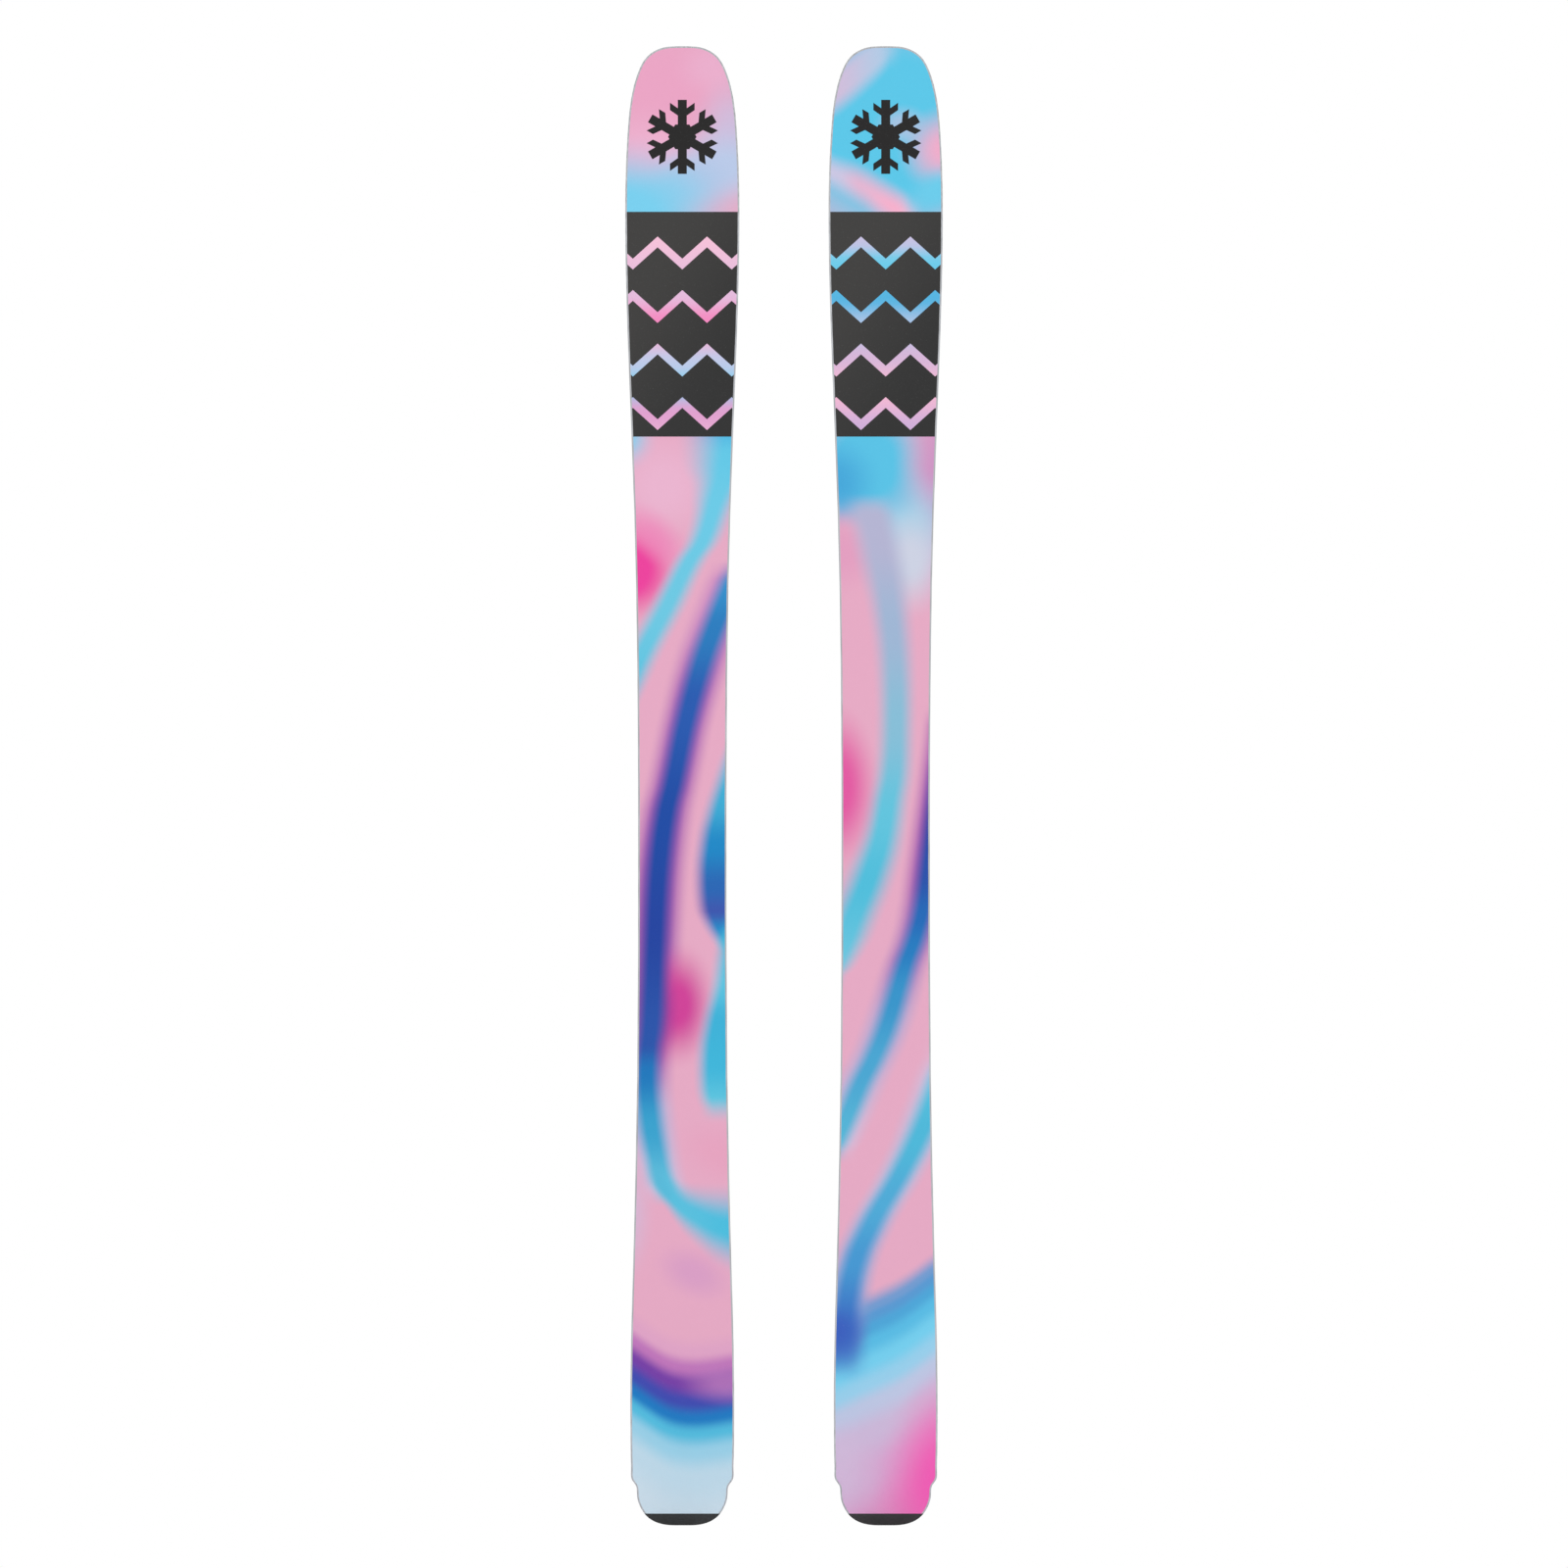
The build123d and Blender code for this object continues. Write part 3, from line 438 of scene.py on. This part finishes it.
def zigzag(ski):
    """1 on the zigzag lines and 0 elsewhere. Every second row is moved across by half a zigzag."""
    marks = 0.0
    for row in range(ZIGZAG_ROWS):
        row_h = ZIGZAG_TOP - row * ZIGZAG_PITCH
        peaks = range(-3, 4, 2) if row % 2 == 0 else range(-2, 3, 2)
        for peak in peaks:
            away = ski.math("ABSOLUTE", ski.math("SUBTRACT", ski.u, peak * ZIGZAG_HALF))
            drop = ski.math("SUBTRACT", ski.math("SUBTRACT", row_h, ski.h),
                            ski.math("MULTIPLY", away, ZIGZAG_SLOPE))
            line = ski.product(ski.math("GREATER_THAN", drop, 0.0), ski.math("LESS_THAN", drop, ZIGZAG_TALL),
                               ski.math("LESS_THAN", away, ZIGZAG_HALF))
            marks = ski.math("MAXIMUM", marks, line)
    return marks


def dark_band(ski, colours):
    """A plain dark band across the shovel with painted shade and rows of zigzag lines."""
    dark = ski.product(ski.math("LESS_THAN", ski.h, BAND_TOP), ski.math("GREATER_THAN", ski.h, BAND_FOOT))
    # painted shade: the band is a little darker towards its right and its foot
    painted_shade = ski.math("SUBTRACT", ski.math("DIVIDE", ski.math("SUBTRACT", ski.h, PAINTED_SHADE_FOOT), PAINTED_SHADE_TALL),
                     ski.math("DIVIDE", ski.u, PAINTED_SHADE_WIDE))
    ski.lay(dark, ski.ramp(painted_shade, [(0.0, rgb(46, 46, 46)), (0.9, CHARCOAL)]))
    ski.paint_along(ski.product(zigzag(ski), dark), colours)


EMBLEM_H = 1686.0
ARM_TURNS = (30, 90, 150)    # degrees; each arm crosses the centre
ARM_HALF = 5.5               # half width of an arm
ARM_REACH = 45.0             # from the centre to an arm's end
CHEVRON_SLOPE = 0.7
CHEVRON_FROM = 22.0          # where a chevron starts and ends on its arm
CHEVRON_TO = 31.0
CHEVRON_HALF = 15.0          # half width of a chevron
HUB_HALF = 15.0              # from the centre to a side of the hexagonal hub


def emblem(ski):
    """A plain six-armed snow star with a hexagonal hub, in black."""
    h = ski.math("SUBTRACT", ski.h, EMBLEM_H)
    mark = 0.0
    hub = 0.0
    for degrees in ARM_TURNS:
        cos, sin = math.cos(math.radians(degrees)), math.sin(math.radians(degrees))
        along = ski.math("ABSOLUTE", ski.math("ADD", ski.math("MULTIPLY", ski.u, cos),
                                              ski.math("MULTIPLY", h, sin)))
        off = ski.math("ABSOLUTE", ski.math("SUBTRACT", ski.math("MULTIPLY", ski.u, sin),
                                            ski.math("MULTIPLY", h, cos)))
        bar = ski.product(ski.math("LESS_THAN", off, ARM_HALF), ski.math("LESS_THAN", along, ARM_REACH))
        # a chevron near the end of each arm
        bent = ski.math("SUBTRACT", along, ski.math("MULTIPLY", off, CHEVRON_SLOPE))
        chevron = ski.product(ski.math("GREATER_THAN", bent, CHEVRON_FROM),
                              ski.math("LESS_THAN", bent, CHEVRON_TO),
                              ski.math("LESS_THAN", off, CHEVRON_HALF))
        mark = ski.math("MAXIMUM", mark, ski.math("MAXIMUM", bar, chevron))
        hub = ski.math("MAXIMUM", hub, along)
    ski.lay(ski.math("MAXIMUM", mark, ski.math("LESS_THAN", hub, HUB_HALF)), rgb(34, 33, 33))


SWIRL = {"left": left_swirl, "right": right_swirl}


def running_base(side):
    """Waxed sintered base with the printed swirl, the band and the emblem."""
    ski = Print(f"{side}_running_base", side, roughness=0.34)
    ski.shader.inputs["Specular IOR Level"].default_value = 0.16
    SWIRL[side](ski)
    dark_band(ski, LINE_COLOURS[side])
    emblem(ski)
    # faint grain of the sintered plastic, and the fine stone-ground structure along the ski
    speckle = ski.noise(900, detail=2.0)
    ski.lay(ski.math("MULTIPLY", ski.between(speckle, 0.62, 0.85), 0.06), rgb(255, 255, 255))
    grind = ski.noise(700, detail=2.0, stretch=(1.0, 1.0, 0.02))
    ski.bump(grind, 0.00006, 0.5)
    ski.vary_roughness(grind, 0.26, 0.42)
    return ski.colour(ski.top)


SHEET_SQUARE = 6.0           # size of the squares that the topsheet's print dissolves in
PRINT_TAIL = (260, 470)      # heights between which the print gives way to charcoal
PRINT_TIP = (1560, 1330)


def topsheet(side):
    """Satin charcoal sheet: the pastel swirl shows at tip and tail and dissolves in stepped squares."""
    ski = Print(f"{side}_topsheet", side, roughness=0.38, coat=0.12)
    ski.shader.inputs["Coat Roughness"].default_value = 0.18
    ski.shader.inputs["Specular IOR Level"].default_value = 0.3
    SWIRL[side](ski)
    middle = ski.product(ski.between(ski.h, *PRINT_TAIL), ski.between(ski.h, *PRINT_TIP))
    cells = ski.nodes.new("ShaderNodeTexWhiteNoise")
    cells.noise_dimensions = "2D"
    joined = ski.nodes.new("ShaderNodeCombineXYZ")
    ski.set(joined.inputs[0], ski.math("SNAP", ski.u, SHEET_SQUARE))
    ski.set(joined.inputs[1], ski.math("SNAP", ski.h, SHEET_SQUARE))
    ski.links.new(joined.outputs[0], cells.inputs["Vector"])
    # the small offset keeps the ends free of stray squares
    dark = ski.math("GREATER_THAN", middle, ski.math("MULTIPLY_ADD", cells.outputs[0], 0.96, 0.02))
    fleck = ski.noise(420, detail=4.0)
    ski.lay(dark, ski.ramp(fleck, [(0.35, rgb(32, 32, 35)), (0.7, rgb(44, 44, 48))]))
    emblem(ski)
    ski.bump(ski.noise(1500, detail=3.0), 0.00005, 0.4)
    ski.vary_roughness(ski.noise(60, detail=4.0), 0.30, 0.46)
    return ski.colour(ski.top)


# --- plain materials ------------------------------------------------------------------------------
def moulded(name, colour, roughness=0.5, grain=1400, depth=0.00006, coat=0.0):
    """Moulded plastic: fine spark-eroded grain and slightly uneven colour."""
    paint = Paint(name, roughness=roughness, coat=coat)
    tone = paint.noise(18, detail=4.0)
    lighter = tuple(min(1.0, channel * 1.35 + 0.004) for channel in colour[:3]) + (1.0,)
    paint.bump(paint.noise(grain, detail=3.0), depth, 0.6)
    paint.vary_roughness(paint.noise(70, detail=5.0), roughness - 0.07, roughness + 0.09)
    return paint.colour(paint.ramp(tone, [(0.35, colour), (0.75, lighter)]))


def metal(name, colour, roughness=0.3, stretch=(1.0, 1.0, 0.03), scale=900):
    """Ground or drawn metal, with fine lines along its length."""
    paint = Paint(name, roughness=roughness, metallic=1.0)
    lines = paint.noise(scale, detail=3.0, stretch=stretch)
    darker = tuple(channel * 0.72 for channel in colour[:3]) + (1.0,)
    paint.bump(lines, 0.00004, 0.5)
    paint.vary_roughness(lines, roughness - 0.08, roughness + 0.12)
    return paint.colour(paint.ramp(lines, [(0.3, darker), (0.65, colour)]))


def laminate():
    """Glass-fibre cloth set in resin, seen on its cut edge as fine strips."""
    paint = Paint("laminate", roughness=0.42)
    weave = paint.noise(1600, detail=2.0, stretch=(1.0, 1.0, 0.05))
    paint.bump(weave, 0.00008, 0.6)
    return paint.colour(paint.ramp(weave, [(0.35, rgb(182, 178, 150)), (0.7, rgb(214, 210, 186))]))


def core_wood():
    """Strips of poplar and beech side by side, with grain along the ski."""
    paint = Paint("core_wood", roughness=0.6)
    split = paint.nodes.new("ShaderNodeSeparateXYZ")
    paint.links.new(paint.place, split.inputs[0])
    strip = paint.math("SNAP", split.outputs["X"], 0.012)
    tone = paint.math("FRACT", paint.math("MULTIPLY", strip, 517.0))
    grain = paint.noise(260, detail=5.0, stretch=(1.0, 1.0, 0.04), distortion=0.4)
    blend = paint.math("MULTIPLY_ADD", tone, 0.4, paint.math("MULTIPLY", grain, 0.6))
    paint.bump(grain, 0.0001, 0.5)
    return paint.colour(paint.ramp(blend, [(0.2, rgb(168, 124, 78)), (0.8, rgb(222, 186, 136))]))


MATERIALS = {
    "edge_steel": metal("edge_steel", rgb(196, 198, 202), roughness=0.3),
    "laminate": laminate(),
    "core_wood": core_wood(),
    "sidewall": moulded("sidewall", rgb(30, 30, 32), roughness=0.42, grain=1000),
    "tail_cap": moulded("tail_cap", rgb(30, 30, 31), roughness=0.5),
    "binding_plastic": moulded("binding_plastic", rgb(34, 34, 37), roughness=0.52),
    "housing_plastic": moulded("housing_plastic", rgb(44, 45, 49), roughness=0.34, coat=0.25),
    "wing_metal": moulded("wing_metal", rgb(58, 60, 65), roughness=0.38, grain=2200, coat=0.15),
    "slip_plate": moulded("slip_plate", rgb(214, 218, 224), roughness=0.26, grain=800),
    "lever_plastic": moulded("lever_plastic", rgb(86, 184, 216), roughness=0.36, coat=0.2),
    "accent_pink": moulded("accent_pink", rgb(228, 158, 192), roughness=0.36, coat=0.2),
    "pin_steel": metal("pin_steel", rgb(190, 190, 192), roughness=0.25, stretch=(1.0, 0.05, 1.0)),
    "spring_steel": metal("spring_steel", rgb(120, 122, 128), roughness=0.35),
    "screw_metal": metal("screw_metal", rgb(178, 180, 184), stretch=(1.0, 1.0, 1.0), scale=500),
    "brake_wire": metal("brake_wire", rgb(176, 178, 182), roughness=0.28, stretch=(1.0, 1.0, 0.05)),
    "shoe_plastic": moulded("shoe_plastic", rgb(28, 28, 30), roughness=0.5),
    "rubber_pad": moulded("rubber_pad", rgb(22, 22, 23), roughness=0.7, grain=600, depth=0.0001),
}
for ski_side in SIDES:
    MATERIALS[f"{ski_side}_running_base"] = running_base(ski_side)
    MATERIALS[f"{ski_side}_topsheet"] = topsheet(ski_side)

NODE_SLOT = {row["node"]: row["material_slot"] for row in frame["record"]["subparts"]}
BODY_OF = {}
for body_name, members in frame["record"]["behaviour"]["bodies"].items():
    for member in members:
        BODY_OF[member] = body_name


def material_for(node):
    slot_name = NODE_SLOT[node]
    side = node.split("_")[0]
    return MATERIALS.get(f"{side}_{slot_name}") or MATERIALS[slot_name]


for node_name, node_object in frame["nodes"].items():
    node_object.data.materials.clear()
    node_object.data.materials.append(material_for(node_name))


# --- mesh helpers ---------------------------------------------------------------------------------
def finish_mesh(name, mesh_data, body, material):
    piece = bpy.data.objects.new(name, mesh_data)
    bpy.context.scene.collection.objects.link(piece)
    mesh_data.materials.clear()
    mesh_data.materials.append(material)
    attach(piece, body)
    return piece


def round_edges(piece, width, segments=3, angle=32.0):
    """Round the piece's sharp edges, and leave the result in its mesh."""
    modifier = piece.modifiers.new("round", "BEVEL")
    modifier.width = width
    modifier.segments = segments
    modifier.limit_method = "ANGLE"
    modifier.angle_limit = math.radians(angle)
    modifier.harden_normals = False
    graph = bpy.context.evaluated_depsgraph_get()
    rounded = bpy.data.meshes.new_from_object(piece.evaluated_get(graph))
    piece.modifiers.clear()
    old = piece.data
    piece.data = rounded
    bpy.data.meshes.remove(old)
    for polygon in piece.data.polygons:
        polygon.use_smooth = True
    piece.data.set_sharp_from_angle(angle=math.radians(40))


def soften(node, width, segments=3):
    """Stand a copy with rounded edges in for a CAD node."""
    mesh_data = frame["nodes"][node].data.copy()
    work = bmesh.new()
    work.from_mesh(mesh_data)
    bmesh.ops.remove_doubles(work, verts=work.verts, dist=1e-6)
    bmesh.ops.dissolve_limit(work, angle_limit=math.radians(1.5), verts=work.verts, edges=work.edges)
    work.to_mesh(mesh_data)
    work.free()
    piece = finish_mesh(f"{node}_shell", mesh_data, BODY_OF[node], material_for(node))
    round_edges(piece, width, segments)
    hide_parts(node)
    return piece


def outline_block(name, points, low, high, axis, body, material, bevel=0.0008):
    """A closed outline pushed along one axis from low to high, with rounded edges.

    For axis "Y" the points are (x, z), for "X" they are (y, z), and for "Z" they are (x, y)."""
    work = bmesh.new()

    def vertex(point, depth):
        a, b = point
        place = {"X": (depth, a, b), "Y": (a, depth, b), "Z": (a, b, depth)}[axis]
        return work.verts.new(place)

    bottom = [vertex(point, low) for point in points]
    top = [vertex(point, high) for point in points]
    work.faces.new(bottom)
    work.faces.new(list(reversed(top)))
    for index in range(len(points)):
        after = (index + 1) % len(points)
        work.faces.new((bottom[index], top[index], top[after], bottom[after]))
    bmesh.ops.recalc_face_normals(work, faces=work.faces)
    mesh_data = bpy.data.meshes.new(name)
    work.to_mesh(mesh_data)
    work.free()
    piece = finish_mesh(name, mesh_data, body, material)
    if bevel:
        round_edges(piece, bevel)
    return piece


def rounded_outline(centre, size, radius, steps=5):
    """The points of a rectangle with round corners."""
    points = []
    for corner, (sx, sy) in enumerate(((1, 1), (-1, 1), (-1, -1), (1, -1))):
        for k in range(steps + 1):
            turn = math.radians(90 * corner + 90 * k / steps)
            points.append((centre[0] + sx * (size[0] / 2 - radius) + radius * math.cos(turn),
                           centre[1] + sy * (size[1] / 2 - radius) + radius * math.sin(turn)))
    return points


# --- bindings: rounded shells over the CAD pieces, and the detail on them -------------------------
ROUND = {"toe_base": 1.0, "toe_housing": 1.6, "toe_wing_left": 1.2, "toe_wing_right": 1.2,
         "toe_friction_plate": 0.7, "heel_track": 0.7, "heel_carriage": 1.0, "heel_housing": 2.0,
         "heel_lever": 1.3, "brake_base": 0.8, "brake_pedal": 1.2, "brake_shoe_left": 0.9,
         "brake_shoe_right": 0.9, "tail_protector": 0.5, "mounting_screws": 0.25,
         "toe_release_screw": 0.4, "heel_release_screw": 0.4}
for ski_side in SIDES:
    for short_name, round_mm in ROUND.items():
        soften(f"{ski_side}_{short_name}", round_mm * MM)


WINDOW_SIZE = (0.011, 0.022)
WINDOW_CORNER = 0.003
MARK_COUNT = 5
MARK_PITCH = 0.004
MARK_LONG = 0.007
MARK_SHORT = 0.0045
MARK_TALL = 0.0008
MARK_PROUD = 0.0002          # a mark stands this far out of the window, and reaches as far into it


def setting_window(side, end, centre_z, bottom, top, body):
    """A pale setting window with long and short marks, on the top of the toe or the heel."""
    x = SKI_X[side]
    window = rounded_outline((x, centre_z), WINDOW_SIZE, WINDOW_CORNER)
    outline_block(f"{side}_{end}_window", window, bottom, top, "Y", body,
                  MATERIALS["slip_plate"], 0.0004)
    for index in range(MARK_COUNT):
        z = centre_z + (index - (MARK_COUNT - 1) / 2) * MARK_PITCH
        wide = MARK_LONG if index % 2 == 0 else MARK_SHORT
        mark = rounded_outline((x, z), (wide, MARK_TALL), 0.0003, 2)
        outline_block(f"{side}_{end}_scale_{index}", mark, top - MARK_PROUD, top + MARK_PROUD, "Y", body,
                      MATERIALS["binding_plastic"], 0)


CAP_SIZE = (0.040, 0.034)
CAP_CORNER = 0.008
TOE_WINDOW_DROP = 0.003      # from the toe housing's middle down to the window's
RIB_COUNT = 6
RIB_SIZE = (0.048, 0.0022)
RIB_MARGIN = 0.007           # from the plate's ends to the first and the last rib


def toe_details(side):
    """Cap plate and setting window on the toe housing, and ribs on the friction plate."""
    x = SKI_X[side]
    body = BODY_OF[f"{side}_toe_housing"]
    low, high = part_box(f"{side}_toe_housing")
    roof = high[1]
    mid_z = (low[2] + high[2]) / 2
    cap = rounded_outline((x, mid_z), CAP_SIZE, CAP_CORNER)
    outline_block(f"{side}_toe_cap_plate", cap, roof - 0.0012, roof + 0.0009, "Y", body,
                  MATERIALS["lever_plastic"], 0.0006)
    setting_window(side, "toe", mid_z - TOE_WINDOW_DROP, roof, roof + 0.0013, body)
    plate_low, plate_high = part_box(f"{side}_toe_friction_plate")
    plate_body = BODY_OF[f"{side}_toe_friction_plate"]
    pitch = (plate_high[2] - plate_low[2] - 2 * RIB_MARGIN) / (RIB_COUNT - 1)
    for index in range(RIB_COUNT):
        rib = rounded_outline((x, plate_low[2] + RIB_MARGIN + index * pitch), RIB_SIZE, 0.001, 3)
        outline_block(f"{side}_friction_rib_{index}", rib, plate_high[1] - 0.0006, plate_high[1] + 0.0005,
                      "Y", plate_body, MATERIALS["slip_plate"], 0.0003)


PANEL_HEIGHT = 0.60          # the side panel's middle, as a part of the heel housing's height
HEEL_WINDOW_RISE = 0.052     # from the heel housing's foot up to the window's middle
TREAD_COUNT = 6
TREAD_SIZE = (0.036, 0.0026)
TREAD_PITCH = 0.007
LEVER_RUN = -0.011           # the lever's outer face goes this far inward over LEVER_RISE
LEVER_RISE = 0.030
LEVER_FOOT = 0.004           # from the lever's lowest point up to that face's lower corner
GRIP_COUNT = 4
GRIP_START = 0.005
GRIP_PITCH = 0.0056
GRIP_HALF = (0.0013, 0.0006)    # half sizes of a grip rib, along the face and out of it
GRIP_REACH = 0.015           # half length of a grip rib


def heel_panels(side):
    """A pink panel on each side of the heel housing."""
    x = SKI_X[side]
    low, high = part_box(f"{side}_heel_housing")
    mid_y = low[1] + PANEL_HEIGHT * (high[1] - low[1])
    foot, top = low[2], high[2]
    panel = [(mid_y - 0.013, foot + 0.030), (mid_y - 0.013, top - 0.040), (mid_y + 0.002, top - 0.032),
             (mid_y + 0.012, top - 0.040), (mid_y + 0.012, foot + 0.020), (mid_y + 0.002, foot + 0.016)]
    for hand, sign in (("left", -1), ("right", 1)):
        face = x + sign * (high[0] - x)
        inner, outer = sorted((face - sign * 0.001, face + sign * 0.0009))
        outline_block(f"{side}_heel_panel_{hand}", panel, inner, outer, "X", BODY_OF[f"{side}_heel_housing"],
                      MATERIALS["accent_pink"], 0.0007)


def pedal_tread(side):
    """Rubber treads across the brake pedal."""
    low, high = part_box(f"{side}_brake_pedal")
    for index in range(TREAD_COUNT):
        z = low[2] + TREAD_PITCH * (index + 1)
        tread = rounded_outline((SKI_X[side], z), TREAD_SIZE, 0.0012, 3)
        outline_block(f"{side}_pedal_tread_{index}", tread, high[1] - 0.0008, high[1] + 0.0006, "Y",
                      BODY_OF[f"{side}_brake_pedal"], MATERIALS["rubber_pad"], 0.0004)


def lever_grip(side):
    """Grip ribs across the outer face of the heel lever, counted up from its tip."""
    x = SKI_X[side]
    low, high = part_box(f"{side}_heel_lever")
    slope = math.atan2(LEVER_RISE, LEVER_RUN)
    up_face = Vector((math.cos(slope), math.sin(slope)))
    outward = Vector((math.sin(slope), -math.cos(slope)))
    tip = Vector((high[1], low[2] + LEVER_FOOT))
    long, tall = GRIP_HALF
    for index in range(GRIP_COUNT):
        middle = tip + up_face * (GRIP_START + GRIP_PITCH * index)
        corners = [middle + up_face * a + outward * b
                   for a, b in ((-long, -tall), (long, -tall), (long, tall), (-long, tall))]
        outline_block(f"{side}_lever_rib_{index}", corners, x - GRIP_REACH, x + GRIP_REACH, "X",
                      BODY_OF[f"{side}_heel_lever"], MATERIALS["lever_plastic"], 0.0004)


def heel_details(side):
    """Side panels, setting window, pedal treads and lever grip."""
    low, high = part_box(f"{side}_heel_housing")
    heel_panels(side)
    setting_window(side, "heel", low[2] + HEEL_WINDOW_RISE, high[1] - 0.001, high[1] + 0.0007,
                   BODY_OF[f"{side}_heel_housing"])
    pedal_tread(side)
    lever_grip(side)


for ski_side in SIDES:
    toe_details(ski_side)
    heel_details(ski_side)


# --- floor, light and camera ------------------------------------------------------------------------
FLOOR_GAP = 0.0008           # the floor lies this far under the tails
FLOOR_HALF = 6.0
SKY_SEEN = 1.0               # strength of the white sky that the camera sees, and of the one that lights
SKY_LIGHT = 0.92
FRAME_WIDE = 1.904           # the picture's width at the skis, from the skis' known length in it
CAMERA_AWAY = 5.0
CAMERA_LIFT = 0.0022         # the picture's middle is this far above the object's

scene = bpy.context.scene
scene.view_settings.view_transform = "Standard"
scene.view_settings.look = "None"
centre = [(cad_bounds[0][axis] + cad_bounds[1][axis]) / 2 for axis in range(3)]


def make_floor():
    work = bmesh.new()
    for sx, sy in ((-1, -1), (1, -1), (1, 1), (-1, 1)):
        work.verts.new((sx * FLOOR_HALF, sy * FLOOR_HALF, cad_bounds[0][2] - FLOOR_GAP))
    work.faces.new(work.verts)
    floor_data = bpy.data.meshes.new("floor")
    work.to_mesh(floor_data)
    work.free()
    floor = bpy.data.objects.new("floor", floor_data)
    scene.collection.objects.link(floor)
    paint = Paint("floor", roughness=0.9)
    tone = paint.noise(1.4, detail=2.0)
    shades = paint.ramp(tone, [(0.3, rgb(250, 250, 251)), (0.7, rgb(252, 252, 253))])
    floor.data.materials.append(paint.colour(shades))


def make_sky():
    """A white sky, a little weaker as a light than as the camera sees it."""
    world = bpy.data.worlds.new("studio")
    scene.world = world
    world.use_nodes = True
    nodes = world.node_tree.nodes
    links = world.node_tree.links
    nodes.clear()
    output = nodes.new("ShaderNodeOutputWorld")
    chooser = nodes.new("ShaderNodeMixShader")
    rays = nodes.new("ShaderNodeLightPath")
    links.new(rays.outputs["Is Camera Ray"], chooser.inputs[0])
    for socket, strength in ((1, SKY_LIGHT), (2, SKY_SEEN)):
        sky = nodes.new("ShaderNodeBackground")
        sky.inputs[0].default_value = (1, 1, 1, 1)
        sky.inputs[1].default_value = strength
        links.new(sky.outputs[0], chooser.inputs[socket])
    links.new(chooser.outputs[0], output.inputs[0])


def soft_light(name, place, size, watts):
    """A square lamp turned to the object's middle."""
    lamp = bpy.data.lights.new(name, "AREA")
    lamp.shape = "SQUARE"
    lamp.size = size
    lamp.energy = watts
    holder = bpy.data.objects.new(name, lamp)
    scene.collection.objects.link(holder)
    holder.location = place
    holder.rotation_euler = (Vector(centre) - Vector(place)).to_track_quat("-Z", "Y").to_euler()


def make_camera():
    camera_data = bpy.data.cameras.new("camera")
    camera_data.type = "ORTHO"
    camera_data.ortho_scale = FRAME_WIDE
    camera = bpy.data.objects.new("camera", camera_data)
    scene.collection.objects.link(camera)
    camera.location = (0.0, -CAMERA_AWAY, centre[2] + CAMERA_LIFT)
    camera.rotation_euler = (math.radians(90), 0, 0)
    scene.camera = camera


make_floor()
make_sky()
soft_light("key", (-2.6, -3.6, 2.6), 2.6, 21)
soft_light("fill", (3.2, -3.0, 0.8), 2.6, 8)
soft_light("back", (1.8, 3.8, 2.8), 2.4, 33)
make_camera()
